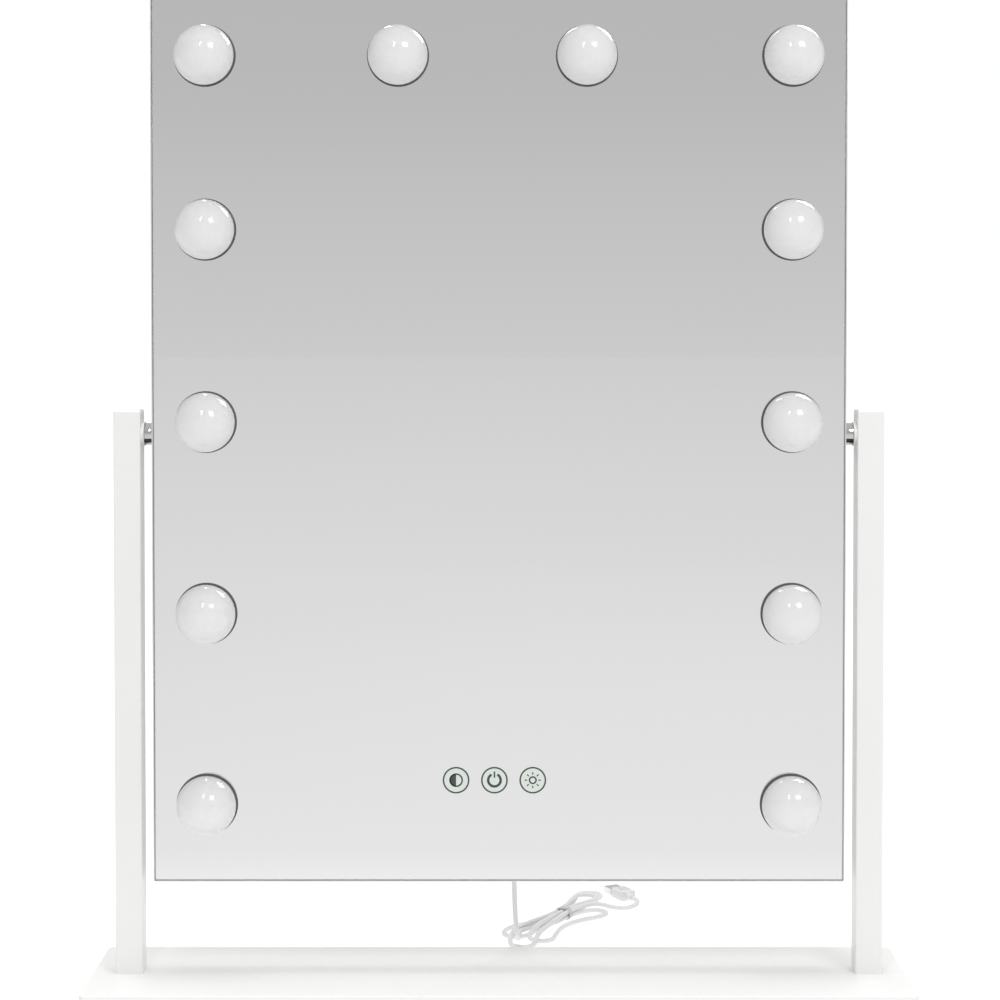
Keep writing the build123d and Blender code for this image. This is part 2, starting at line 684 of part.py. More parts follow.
def socket_wires():
    """Two short wires from the socket up to the control board."""
    y = BOARD_FRONT + BOARD_T + 1.5
    bottom = SOCKET_Z + SOCKET_R
    top = TOUCH_Z - CONTROL_H / 2 + 1.6
    x = TOUCH_X + CONTROL_W / 2 - 39.0
    apart = (-1.5, 1.5)
    return [wire(Vector(SOCKET_X + k, y, bottom), Vector(x + k, y, top), 0.6) for k in apart]


save("control_board", control_board())
save("board_pillars", *[pillar(x, z) for x, z in PILLARS])
save("touch_pads", *[touch_pad(k) for k in (-1, 0, 1)])
save("wiring_loom", wiring_loom(), *[lamp_tail(x, z) for x, z in LAMPS], *socket_wires())
save("supply_socket", socket())


# ---------------------------------------------------------------- supply lead
def corner_radii(points):
    """Largest bend at each inner point that its two runs allow."""
    radii = []
    for a, b, c in zip(points, points[1:], points[2:]):
        before, after = Vector(*b) - Vector(*a), Vector(*c) - Vector(*b)
        turn = radians(before.get_angle(after))
        radii.append(0.45 * min(before.length, after.length) / tan(turn / 2))
    return radii


def cord(name, points):
    """Round lead along straight runs joined by tangent bends."""
    radii = corner_radii(points)
    path = FilletPolyline(*points, radius=radii)
    tube = sweep(Plane(origin=path @ 0, z_dir=path % 0) * Circle(CORD_D / 2), path=path)
    expected = pi * CORD_D**2 / 4 * path.length
    print(f"{name}: {path.length:.1f} mm, volume {tube.volume / expected:.4f} of section x length")
    print("  bends", [round(r, 1) for r in radii])
    return tube


def elbow_plug():
    """Right-angled plug in the socket; its ribbed boot points down."""
    face = HEAD_BACK + SOCKET_FLANGE_T
    jack = rod_y(JACK_R, face - JACK_L, face, SOCKET_X, SOCKET_Z)
    body = rod_y(ELBOW_R, face, face + ELBOW_L, SOCKET_X, SOCKET_Z)
    body = fillet(body.edges().sort_by(Axis.Y)[-1:], 2.0)
    boot = Cone(BOOT_END_R, BOOT_TOP_R, BOOT_L)
    boot = Pos(SOCKET_X, ELBOW_MID, SOCKET_Z - BOOT_L / 2) * boot
    return jack + body + boot


def rounded_outline(points, z0, z1, radius):
    """Upright prism over a closed outline, its corners rounded."""
    prism = Pos(0, 0, z0) * extrude(make_face(Polyline(*points, close=True)), amount=z1 - z0)
    return fillet(prism.edges().filter_by(Axis.Z), radius)


def cord_hank():
    near = rounded_outline(HANK_NEAR, 0.0, HANK_T, 2.0)
    far = rounded_outline(HANK_FAR, 0.0, HANK_T, 2.0)
    waist = Box(WAIST_W, WAIST_L, WAIST_H - TIE_T)
    waist = Pos(*TIE_AT, (TIE_T + WAIST_H) / 2) * Rot(0, 0, TIE_TURN) * waist
    band = Pos(*TIE_AT, WAIST_H / 2) * Rot(0, 0, TIE_TURN) * Box(60, TIE_W + 1.0, 30)
    return (near - band) + (far - band) + waist


def cord_tie():
    """Soft band round the waist of the hank."""
    outer = Box(WAIST_W + 2 * TIE_T, TIE_W, WAIST_H + TIE_T)
    outer = fillet(outer.edges().filter_by(Axis.Y), TIE_T)
    outer = Pos(0, 0, (WAIST_H + TIE_T) / 2) * outer
    inner = Pos(0, 0, (TIE_T + WAIST_H) / 2) * Box(WAIST_W, TIE_W + 2, WAIST_H - TIE_T)
    return Pos(*TIE_AT, 0) * Rot(0, 0, TIE_TURN) * (outer - inner)


USB_PLACE = Pos(*CORD_LEAD[-1]) * Rot(0, 0, USB_TURN)
USB_BODY_START = USB_TAIL
USB_SHELL_START = USB_BODY_START + USB_L


def usb_body():
    """Moulded grip of the plug, with the tail that the lead enters."""
    grip = Pos(0, USB_BODY_START + USB_L / 2, 0) * Box(USB_W, USB_L, USB_H)
    grip = fillet(grip.edges(), 1.5)
    tail = Pos(0, USB_TAIL / 2 + 0.5, 0) * Rot(-90, 0, 0) * Cone(2.3, 3.2, USB_TAIL + 1.0)
    tail = tail - Pos(0, -5, 0) * Box(20, 10, 20)
    return USB_PLACE * (grip + tail)


def usb_shell():
    """Folded metal shell with its contact tongue inside."""
    middle = USB_SHELL_START + USB_SHELL_L / 2
    shell = Box(USB_SHELL_W, USB_SHELL_L, USB_SHELL_H)
    wall = 2 * USB_SHELL_WALL
    shell -= Pos(0, USB_SHELL_WALL, 0) * Box(USB_SHELL_W - wall, USB_SHELL_L, USB_SHELL_H - wall)
    z = -USB_SHELL_H / 2 + USB_SHELL_WALL + USB_TONGUE_T / 2
    tongue = Box(USB_SHELL_W - wall, USB_SHELL_L - 1.5, USB_TONGUE_T)
    return USB_PLACE * Pos(0, middle, 0) * (shell + Pos(0, -0.5, z) * tongue)


save("elbow_plug", elbow_plug())
save("cord_drop", cord("drop", CORD_DROP))
save("cord_lead", cord("lead", CORD_LEAD))
save("cord_hank", cord_hank())
save("cord_tie", cord_tie())
save("usb_plug_body", usb_body())
save("usb_plug_shell", usb_shell())
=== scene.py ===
import json
import logging
from dataclasses import dataclass
from enum import Enum
from math import cos, pi, radians, sin
from typing import Iterable, Sequence

import bmesh
import bpy
import numpy as np
from mathutils import Matrix, Vector

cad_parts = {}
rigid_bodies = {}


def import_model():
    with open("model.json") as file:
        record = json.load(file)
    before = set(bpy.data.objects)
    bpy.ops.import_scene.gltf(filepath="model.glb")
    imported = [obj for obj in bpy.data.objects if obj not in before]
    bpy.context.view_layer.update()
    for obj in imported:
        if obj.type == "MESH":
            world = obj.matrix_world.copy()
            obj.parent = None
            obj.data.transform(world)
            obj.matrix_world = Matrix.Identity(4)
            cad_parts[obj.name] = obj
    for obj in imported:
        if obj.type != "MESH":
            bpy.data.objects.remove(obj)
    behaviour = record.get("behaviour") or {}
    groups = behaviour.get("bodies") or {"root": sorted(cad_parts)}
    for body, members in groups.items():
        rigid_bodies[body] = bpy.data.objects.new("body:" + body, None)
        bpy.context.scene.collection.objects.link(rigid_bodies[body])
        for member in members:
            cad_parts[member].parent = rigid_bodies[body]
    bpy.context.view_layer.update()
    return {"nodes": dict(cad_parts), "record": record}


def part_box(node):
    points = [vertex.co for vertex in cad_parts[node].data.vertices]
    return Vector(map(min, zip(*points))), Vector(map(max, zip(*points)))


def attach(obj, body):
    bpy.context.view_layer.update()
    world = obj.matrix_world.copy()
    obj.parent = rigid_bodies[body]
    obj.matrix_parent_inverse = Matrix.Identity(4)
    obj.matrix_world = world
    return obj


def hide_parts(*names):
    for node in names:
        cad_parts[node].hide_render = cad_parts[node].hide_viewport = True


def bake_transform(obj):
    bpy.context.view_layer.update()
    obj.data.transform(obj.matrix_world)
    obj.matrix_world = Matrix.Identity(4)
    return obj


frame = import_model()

STAND = "stand"
HEAD = "mirror_head"
MM = 0.001
Point = tuple[float, float, float]
Profile = Sequence[tuple[float, float]]
log = logging.getLogger("lighted_mirror")


# ---------------------------------------------------------------- meshes
def new_object(name: str, mesh: bpy.types.Mesh) -> bpy.types.Object:
    """Put a mesh into the scene as an object at the origin.

    Args:
        name: name of the object and of its mesh.
        mesh: its mesh, already in place.

    Returns:
        The new object.
    """
    mesh.name = name
    piece = bpy.data.objects.new(name, mesh)
    bpy.context.scene.collection.objects.link(piece)
    return piece


def smooth(mesh: bpy.types.Mesh, sharp_over: float = 35.0) -> None:
    """Shade a mesh smooth, apart from edges that turn by more than an angle in degrees."""
    mesh.polygons.foreach_set("use_smooth", [True] * len(mesh.polygons))
    mesh.set_sharp_from_angle(angle=radians(sharp_over))
    mesh.update()


def mesh_from(build: bmesh.types.BMesh, sharp_over: float = 35.0) -> bpy.types.Mesh:
    """Finish a bmesh: merge doubles, turn the faces outwards and shade it.

    Args:
        build: the closed shapes; it is freed.
        sharp_over: edges that turn by more than these degrees stay sharp.

    Returns:
        A plain mesh.
    """
    bmesh.ops.remove_doubles(build, verts=build.verts, dist=1e-7)
    bmesh.ops.recalc_face_normals(build, faces=build.faces)
    mesh = bpy.data.meshes.new("piece")
    build.to_mesh(mesh)
    build.free()
    smooth(mesh, sharp_over)
    return mesh


def add_turned(build: bmesh.types.BMesh, profile: Profile, place: Matrix, segments: int = 48) -> None:
    """Add a turned shape with its axis on local Y.

    Args:
        build: mesh that takes the shape.
        profile: (radius, place along the axis) pairs in metres; a radius of 0 closes
            an end with a pole, and a profile that ends where it starts is a ring.
        place: where the shape goes.
        segments: faces round the axis.
    """
    ring_shape = profile[0] == profile[-1]
    rows = []
    for radius, along in profile[:-1] if ring_shape else profile:
        if radius == 0.0:
            rows.append([build.verts.new(place @ Vector((0.0, along, 0.0)))])
            continue
        turns = [2 * pi * k / segments for k in range(segments)]
        spots = [Vector((radius * cos(t), along, radius * sin(t))) for t in turns]
        rows.append([build.verts.new(place @ spot) for spot in spots])
    if ring_shape:
        rows.append(rows[0])
    for low, high in zip(rows, rows[1:]):
        for k in range(segments):
            n = (k + 1) % segments
            corners = [low[k % len(low)], low[n % len(low)], high[n % len(high)], high[k % len(high)]]
            build.faces.new(list(dict.fromkeys(corners)))


def turned(profile: Profile, place: Matrix = Matrix.Identity(4), segments: int = 48) -> bpy.types.Mesh:
    """One turned shape as a finished mesh; the arguments are those of add_turned."""
    build = bmesh.new()
    add_turned(build, profile, place, segments)
    return mesh_from(build)


def add_prism(build: bmesh.types.BMesh, outline: Iterable[tuple[float, float]], y0: float, y1: float) -> None:
    """Add an upright plate: an outline in X and Z, from y0 to y1.

    Args:
        build: mesh that takes the plate.
        outline: its corners in order, in X and Z.
        y0: its front.
        y1: its back.
    """
    front = [build.verts.new((x, y0, z)) for x, z in outline]
    back = [build.verts.new((v.co.x, y1, v.co.z)) for v in front]
    build.faces.new(front)
    build.faces.new(list(reversed(back)))
    for k in range(len(front)):
        n = (k + 1) % len(front)
        build.faces.new([front[k], back[k], back[n], front[n]])


def add_rounded_box(build: bmesh.types.BMesh, size: Point, place: Matrix, radius: float, steps: int = 3) -> None:
    """Add a box with rounded edges.

    Args:
        build: mesh that takes the box.
        size: its three sizes in metres.
        place: where its middle goes.
        radius: radius of its edges.
        steps: faces across each rounded edge.
    """
    part = bmesh.new()
    bmesh.ops.create_cube(part, size=1.0)
    bmesh.ops.scale(part, vec=size, verts=part.verts)
    bmesh.ops.bevel(part, geom=part.edges, offset=radius, segments=steps, profile=0.5, affect="EDGES")
    bmesh.ops.transform(part, matrix=place, verts=part.verts)
    held = bpy.data.meshes.new("part")
    part.to_mesh(held)
    part.free()
    build.from_mesh(held)
    bpy.data.meshes.remove(held)


def smooth_line(points: Sequence[Point], between: int) -> np.ndarray:
    """Points along the smooth curve that a row of control points pulls.

    Args:
        points: control points in metres.
        between: how finely the curve is divided.

    Returns:
        The curve's points, one row each.
    """
    curve = bpy.data.curves.new("line", "CURVE")
    curve.dimensions = "3D"
    curve.resolution_u = between
    spline = curve.splines.new("NURBS")
    spline.points.add(len(points) - 1)
    for spot, point in zip(spline.points, points):
        spot.co = (*point, 1.0)
    spline.order_u = 3
    spline.use_endpoint_u = True
    holder = bpy.data.objects.new("line", curve)
    mesh = bpy.data.meshes.new_from_object(holder)
    line = np.array([v.co for v in mesh.vertices], float)
    bpy.data.meshes.remove(mesh)
    bpy.data.objects.remove(holder)
    bpy.data.curves.remove(curve)
    return line


def add_tube(build: bmesh.types.BMesh, line: np.ndarray, radii: Sequence[float], sides: int = 14) -> None:
    """Add a closed round tube along a line of points.

    Args:
        build: mesh that takes the tube; its layer "Along" gets each loop's place.
        line: points of its middle.
        radii: its radius at each point.
        sides: faces round it.
    """
    uv = build.loops.layers.uv.get("Along") or build.loops.layers.uv.new("Along")
    steps = np.diff(line, axis=0)
    travel = np.concatenate([[0.0], np.cumsum(np.linalg.norm(steps, axis=1))])
    tangents = np.gradient(line, axis=0)
    tangents /= np.linalg.norm(tangents, axis=1)[:, None]
    across = np.cross(tangents[0], [1.0, 0.0, 0.0])
    rows = []
    for spot, tangent, radius in zip(line, tangents, radii):
        across = across - tangent * across.dot(tangent)
        across /= np.linalg.norm(across)
        other = np.cross(tangent, across)
        turns = [2 * pi * k / sides for k in range(sides)]
        rows.append([build.verts.new(spot + radius * (across * cos(t) + other * sin(t))) for t in turns])
    for i, (low, high) in enumerate(zip(rows, rows[1:])):
        for k in range(sides):
            n = (k + 1) % sides
            face = build.faces.new([low[k], low[n], high[n], high[k]])
            spots = [(k, i), (k + 1, i), (k + 1, i + 1), (k, i + 1)]
            for loop, (turn, row) in zip(face.loops, spots):
                loop[uv].uv = (travel[row], turn / sides)
    build.faces.new(list(reversed(rows[0])))
    build.faces.new(rows[-1])


# ---------------------------------------------------------------- node trees
class Tree:
    """Adds nodes to one node tree and joins them."""

    def __init__(self, tree: bpy.types.NodeTree) -> None:
        """Take the tree to work on."""
        self.tree = tree

    def add(self, kind: str, inputs: dict | None = None, **settings: object) -> bpy.types.Node:
        """Add a node.

        Args:
            kind: Blender's name of the node type.
            inputs: value or output socket for each named or numbered input.
            **settings: properties of the node.

        Returns:
            The node.
        """
        node = self.tree.nodes.new(kind)
        for name, value in settings.items():
            setattr(node, name, value)
        for key, value in (inputs or {}).items():
            if isinstance(value, bpy.types.NodeSocket):
                self.tree.links.new(value, node.inputs[key])
            else:
                node.inputs[key].default_value = value
        return node

    def math(self, operation: str, a: object, b: object = 0.0, clamp: bool = False) -> bpy.types.NodeSocket:
        """Output of a Math node with one or two inputs."""
        node = self.add("ShaderNodeMath", {0: a, 1: b}, operation=operation, use_clamp=clamp)
        return node.outputs[0]

    def spread(self, value: object, low: float, high: float, to_low: float, to_high: float) -> bpy.types.NodeSocket:
        """Output of a clamped Map Range node."""
        inputs = {"Value": value, "From Min": low, "From Max": high, "To Min": to_low, "To Max": to_high}
        return self.add("ShaderNodeMapRange", inputs, clamp=True).outputs[0]

    def blend(self, factor: object, first: object, second: object) -> bpy.types.NodeSocket:
        """Output of a colour Mix node.

        Args:
            factor: share of the second colour, a number or an output.
            first: colour at 0.
            second: colour at 1.

        Returns:
            The mixed colour.
        """
        node = self.add("ShaderNodeMix", data_type="RGBA")
        for key, value in zip((0, 6, 7), (factor, first, second)):
            if isinstance(value, bpy.types.NodeSocket):
                self.tree.links.new(value, node.inputs[key])
            else:
                node.inputs[key].default_value = value
        return node.outputs[2]

    def join(self, output: bpy.types.NodeSocket, target: bpy.types.NodeSocket) -> None:
        """Link an output to an input."""
        self.tree.links.new(output, target)


class GroupShop:
    """Builds the shader node groups that several finishes share, each once."""

    def __init__(self) -> None:
        """Build every group."""
        self.grain = self._grain()
        self.tone = self._tone()
        self.dust = self._dust()
        self.hairlines = self._hairlines()

    @staticmethod
    def _start(name: str, inputs: dict[str, tuple[str, object]], output: tuple[str, str]) -> tuple:
        """Make an empty group with named sockets.

        Args:
            name: name of the group.
            inputs: socket type and first value of each input.
            output: name and socket type of its only output.

        Returns:
            The group, its tree helper, its input node and its output node.
        """
        group = bpy.data.node_groups.new(name, "ShaderNodeTree")
        for key, (kind, value) in inputs.items():
            socket = group.interface.new_socket(name=key, in_out="INPUT", socket_type=kind)
            socket.default_value = value
        group.interface.new_socket(name=output[0], in_out="OUTPUT", socket_type=output[1])
        tree = Tree(group)
        return group, tree, tree.add("NodeGroupInput"), tree.add("NodeGroupOutput")

    def _grain(self) -> bpy.types.NodeTree:
        """Fine surface grain, stretched along one axis for drawn metal.

        Returns:
            The group, with a Height output.
        """
        inputs = {
            "Scale": ("NodeSocketFloat", 500.0),
            "Stretch": ("NodeSocketVector", (1.0, 1.0, 1.0)),
            "Detail": ("NodeSocketFloat", 3.0),
        }
        group, tree, start, end = self._start("Surface grain", inputs, ("Height", "NodeSocketFloat"))
        place = tree.add("ShaderNodeTexCoord").outputs["Object"]
        pulled = tree.add("ShaderNodeVectorMath", {0: place, 1: start.outputs["Stretch"]}, operation="MULTIPLY")
        wanted = {"Vector": pulled.outputs[0], "Scale": start.outputs["Scale"], "Detail": start.outputs["Detail"]}
        noise = tree.add("ShaderNodeTexNoise", wanted)
        tree.join(tree.spread(noise.outputs[0], 0.3, 0.7, 0.0, 1.0), end.inputs["Height"])
        return group

    def _tone(self) -> bpy.types.NodeTree:
        """Colour that is a little darker in broad soft patches.

        Returns:
            The group, with a Color output.
        """
        inputs = {
            "Color": ("NodeSocketColor", (0.8, 0.8, 0.8, 1.0)),
            "Amount": ("NodeSocketFloat", 0.05),
            "Scale": ("NodeSocketFloat", 12.0),
        }
        group, tree, start, end = self._start("Tone patches", inputs, ("Color", "NodeSocketColor"))
        place = tree.add("ShaderNodeTexCoord").outputs["Object"]
        noise = tree.add("ShaderNodeTexNoise", {"Vector": place, "Scale": start.outputs["Scale"], "Detail": 4.0})
        share = tree.math("MULTIPLY", tree.spread(noise.outputs[0], 0.35, 0.7, 0.0, 1.0), start.outputs["Amount"])
        hue = tree.add("ShaderNodeHueSaturation", {"Value": 0.5, "Color": start.outputs["Color"]})
        tree.join(tree.blend(share, start.outputs["Color"], hue.outputs[0]), end.inputs["Color"])
        return group

    def _dust(self) -> bpy.types.NodeTree:
        """Mask of light dust, more on what faces up.

        Returns:
            The group, with a Mask output.
        """
        inputs = {"Amount": ("NodeSocketFloat", 0.1), "Scale": ("NodeSocketFloat", 160.0)}
        group, tree, start, end = self._start("Settled dust", inputs, ("Mask", "NodeSocketFloat"))
        normal = tree.add("ShaderNodeNewGeometry").outputs["Normal"]
        up = tree.spread(tree.add("ShaderNodeSeparateXYZ", {0: normal}).outputs[2], 0.2, 1.0, 0.1, 1.0)
        place = tree.add("ShaderNodeTexCoord").outputs["Object"]
        noise = tree.add("ShaderNodeTexNoise", {"Vector": place, "Scale": start.outputs["Scale"], "Detail": 6.0})
        flecks = tree.spread(noise.outputs[0], 0.5, 0.75, 0.0, 1.0)
        mask = tree.math("MULTIPLY", tree.math("MULTIPLY", up, flecks), start.outputs["Amount"], clamp=True)
        tree.join(mask, end.inputs["Mask"])
        return group

    def _hairlines(self) -> bpy.types.NodeTree:
        """Mask of fine wiping scratches that curve in all directions.

        Returns:
            The group, with a Mask output.
        """
        inputs = {"Scale": ("NodeSocketFloat", 60.0), "Width": ("NodeSocketFloat", 0.03)}
        group, tree, start, end = self._start("Wiping marks", inputs, ("Mask", "NodeSocketFloat"))
        place = tree.add("ShaderNodeTexCoord").outputs["Object"]
        noise = tree.add("ShaderNodeTexNoise", {"Vector": place, "Scale": start.outputs["Scale"], "Detail": 2.0})
        off_middle = tree.math("ABSOLUTE", tree.math("SUBTRACT", noise.outputs[0], 0.5))
        line = tree.math("SUBTRACT", 1.0, tree.math("DIVIDE", off_middle, start.outputs["Width"]), clamp=True)
        tree.join(line, end.inputs["Mask"])
        return group


class Grain(Enum):
    """How a finish's grain is pulled out along the axes."""

    EVEN = (1.0, 1.0, 1.0)
    ALONG_X = (0.04, 1.0, 1.0)
    ALONG_Y = (1.0, 0.04, 1.0)
    ALONG_Z = (1.0, 1.0, 0.04)


@dataclass(frozen=True)
class Finish:
    """One surface finish of the object, named as the record's material slot.

    Colours are linear, grain_scale is per metre and bump_height in metres.
    """

    slot: str
    color: tuple[float, float, float]
    roughness: float
    metallic: float = 0.0
    grain: Grain = Grain.EVEN
    grain_scale: float = 600.0
    roughness_spread: float = 0.08
    bump: float = 0.08
    bump_height: float = 0.0002
    tone: float = 0.06
    tone_scale: float = 12.0
    dust: float = 0.05
    marks: float = 0.0
    coat: float = 0.0
    milky: float = 0.0
    specular: float = 0.5
    # under_shade: strength of a painted dark reflection band on faces that point down
    under_shade: float = 0.0

    def build(self, groups: GroupShop) -> bpy.types.Material:
        """Make the material.

        Args:
            groups: the shared node groups.

        Returns:
            A node material with this finish's name.
        """
        material = bpy.data.materials.new(self.slot)
        material.use_nodes = True
        material.node_tree.nodes.clear()
        tree = Tree(material.node_tree)
        shader = tree.add("ShaderNodeBsdfPrincipled")
        out = tree.add("ShaderNodeOutputMaterial")
        tree.join(shader.outputs[0], out.inputs[0])
        shader.inputs["Metallic"].default_value = self.metallic
        shader.inputs["Coat Weight"].default_value = self.coat
        shader.inputs["Coat Roughness"].default_value = 0.04
        shader.inputs["Specular IOR Level"].default_value = self.specular
        if self.milky:
            shader.inputs["Subsurface Weight"].default_value = self.milky
            shader.inputs["Subsurface Radius"].default_value = (1.0, 0.95, 0.9)
            shader.inputs["Subsurface Scale"].default_value = 0.004
        grain = self._place(tree, groups.grain, {"Scale": self.grain_scale, "Stretch": self.grain.value})
        patches = {"Color": (*self.color, 1.0), "Amount": self.tone, "Scale": self.tone_scale}
        color = self._place(tree, groups.tone, patches)
        dust = self._place(tree, groups.dust, {"Amount": self.dust})
        color = tree.blend(dust, color, (0.62, 0.6, 0.57, 1.0))
        # Painted reflection: a near-black band, with a thin lighter line, on the downward-facing side of a polished
        # part
        if self.under_shade:
            color = tree.blend(self._painted_reflection_band(tree), color, (0.02, 0.02, 0.02, 1.0))
        rough = tree.spread(grain, 0.0, 1.0, self.roughness, self.roughness + self.roughness_spread)
        rough = tree.math("ADD", rough, tree.math("MULTIPLY", dust, 0.4))
        if self.marks:
            lines = self._place(tree, groups.hairlines, {"Scale": 45.0})
            rough = tree.math("ADD", rough, tree.math("MULTIPLY", lines, self.marks))
        relief = {"Strength": self.bump, "Distance": self.bump_height, "Height": grain}
        bump = tree.add("ShaderNodeBump", relief)
        tree.join(color, shader.inputs["Base Color"])
        tree.join(rough, shader.inputs["Roughness"])
        tree.join(bump.outputs[0], shader.inputs["Normal"])
        return material

    def _painted_reflection_band(self, tree: Tree) -> bpy.types.NodeSocket:
        """Mask of a painted dark reflection band on the downward-facing side of a polished rod, standing in for the
        dark space below it mirrored there, broken by a thin painted light line.

        Args:
            tree: helper of the material's tree.

        Returns:
            The mask, 0 on the lit upper part.
        """
        normal = tree.add("ShaderNodeNewGeometry").outputs["Normal"]
        height = tree.add("ShaderNodeSeparateXYZ", {0: normal}).outputs[2]
        upper = tree.spread(height, -0.37, -0.43, 0.0, self.under_shade)
        gap = tree.spread(tree.math("ABSOLUTE", tree.math("ADD", height, 0.84)), 0.03, 0.05, 0.1, 1.0)
        return tree.math("MULTIPLY", upper, gap)

    @staticmethod
    def _place(tree: Tree, group: bpy.types.NodeTree, values: dict[str, object]) -> bpy.types.NodeSocket:
        """Place a shared group with this finish's values and return its output.

        Args:
            tree: helper of the material's tree.
            group: the shared group.
            values: a value for each input to set.

        Returns:
            The group's only output.
        """
        node = tree.add("ShaderNodeGroup", node_tree=group)
        for key, value in values.items():
            node.inputs[key].default_value = value
        return node.outputs[0]


FINISHES = [
    Finish("white_enamel", (0.86, 0.86, 0.85), 0.36, grain_scale=900, bump=0.12, tone=0.03, tone_scale=7, marks=0.03),
    Finish("white_plastic", (0.86, 0.86, 0.85), 0.28, grain_scale=1500, bump=0.05, tone=0.04, tone_scale=60),
    Finish("steel", (0.50, 0.50, 0.51), 0.30, 1.0, Grain.ALONG_X, 2500, 0.18, 0.1, tone=0.15, tone_scale=90),
    Finish("screw_zinc", (0.58, 0.58, 0.57), 0.26, 1.0, Grain.EVEN, 2600, 0.16, 0.1, tone=0.2, tone_scale=220),
    Finish("foot_rubber", (0.025, 0.025, 0.026), 0.72, grain_scale=2400, bump=0.3, tone=0.3, tone_scale=90, dust=0.2),
    Finish("nylon", (0.80, 0.80, 0.78), 0.42, grain_scale=1800, bump=0.08, tone=0.05, tone_scale=120),
    # Chrome: under_shade paints a dark reflection band along the underside of the pivot collars
    Finish("chrome", (0.70, 0.70, 0.71), 0.05, 1.0, Grain.ALONG_X, 3000, 0.05, 0.02, tone=0.05, tone_scale=200,
           dust=0.02, under_shade=0.97),
    Finish("frame_metal", (0.88, 0.88, 0.88), 0.28, 1.0, Grain.ALONG_Z, 2200, 0.12, 0.06, tone=0.08, tone_scale=30),
    Finish("mirror", (0.915, 0.915, 0.915), 0.012, 1.0, grain_scale=35, roughness_spread=0.012, bump=0.0,
           tone=0.012, tone_scale=4, dust=0.004, marks=0.02),
    Finish("foam_tape", (0.03, 0.03, 0.03), 0.85, grain_scale=3500, bump=0.5, tone=0.4, tone_scale=400),
    Finish("back_plastic", (0.66, 0.66, 0.65), 0.46, grain_scale=1300, bump=0.35, tone=0.05, tone_scale=9,
           marks=0.04),
    Finish("milky_dome", (0.79, 0.79, 0.785), 0.10, grain_scale=120, roughness_spread=0.03, bump=0.0, tone=0.03,
           tone_scale=70, dust=0.02, milky=0.35, coat=0.12),
    Finish("seal_rubber", (0.12, 0.12, 0.12), 0.6, grain_scale=3000, bump=0.2, tone=0.3, tone_scale=200),
    Finish("board_white", (0.74, 0.76, 0.73), 0.34, grain_scale=1600, bump=0.1, tone=0.12, tone_scale=150),
    Finish("board_green", (0.02, 0.12, 0.05), 0.32, grain_scale=1600, bump=0.15, tone=0.35, tone_scale=160),
    Finish("copper_pad", (0.72, 0.42, 0.22), 0.28, 1.0, grain_scale=2000, bump=0.1, tone=0.25, tone_scale=200),
    Finish("wire_sheath", (0.70, 0.70, 0.68), 0.4, grain_scale=900, bump=0.1, tone=0.1, tone_scale=50),
    Finish("black_plastic", (0.02, 0.02, 0.02), 0.4, grain_scale=1800, bump=0.2, tone=0.3, tone_scale=120),
    Finish("cord_white", (0.80, 0.80, 0.80), 0.38, grain_scale=1100, bump=0.14, tone=0.06, tone_scale=45, dust=0.08),
    Finish("tie_white", (0.66, 0.66, 0.65), 0.55, grain_scale=1500, bump=0.3, tone=0.1, tone_scale=90),
    Finish("plug_metal", (0.80, 0.80, 0.79), 0.24, 1.0, Grain.ALONG_Y, 2600, 0.14, 0.06, tone=0.1, tone_scale=150),
]
MARK_LINE = Finish("mark_line", (0.055, 0.075, 0.066), 0.4, grain_scale=2500, bump=0.05, tone=0.15, tone_scale=300)
MARK_FILL = Finish("mark_fill", (0.84, 0.90, 0.85), 0.16, 0.75, grain_scale=2500, bump=0.05, tone=0.06,
                   tone_scale=300)


class FinishShop:
    """Keeps one material for each finish."""

    def __init__(self) -> None:
        """Build the shared groups and every material."""
        groups = GroupShop()
        self.materials = {f.slot: f.build(groups) for f in [*FINISHES, MARK_LINE, MARK_FILL]}

    def of(self, name: str) -> bpy.types.Material:
        """Material of a finish."""
        return self.materials[name]

    def dress(self, piece: bpy.types.Object, finish: str, slot: str | None = None) -> None:
        """Give a new piece its material.

        Args:
            piece: the piece.
            finish: name of its finish.
            slot: the record's slot, where it differs from the finish; not used.
        """
        piece.data.materials.clear()
        piece.data.materials.append(self.of(finish))


# ---------------------------------------------------------------- patterns
class Layout(Enum):
    """What a repeat tree sets its copies on."""

    POINTS = "on given points"
    ROUND = "round an axis along Y"
    ROW = "in a tapering row"


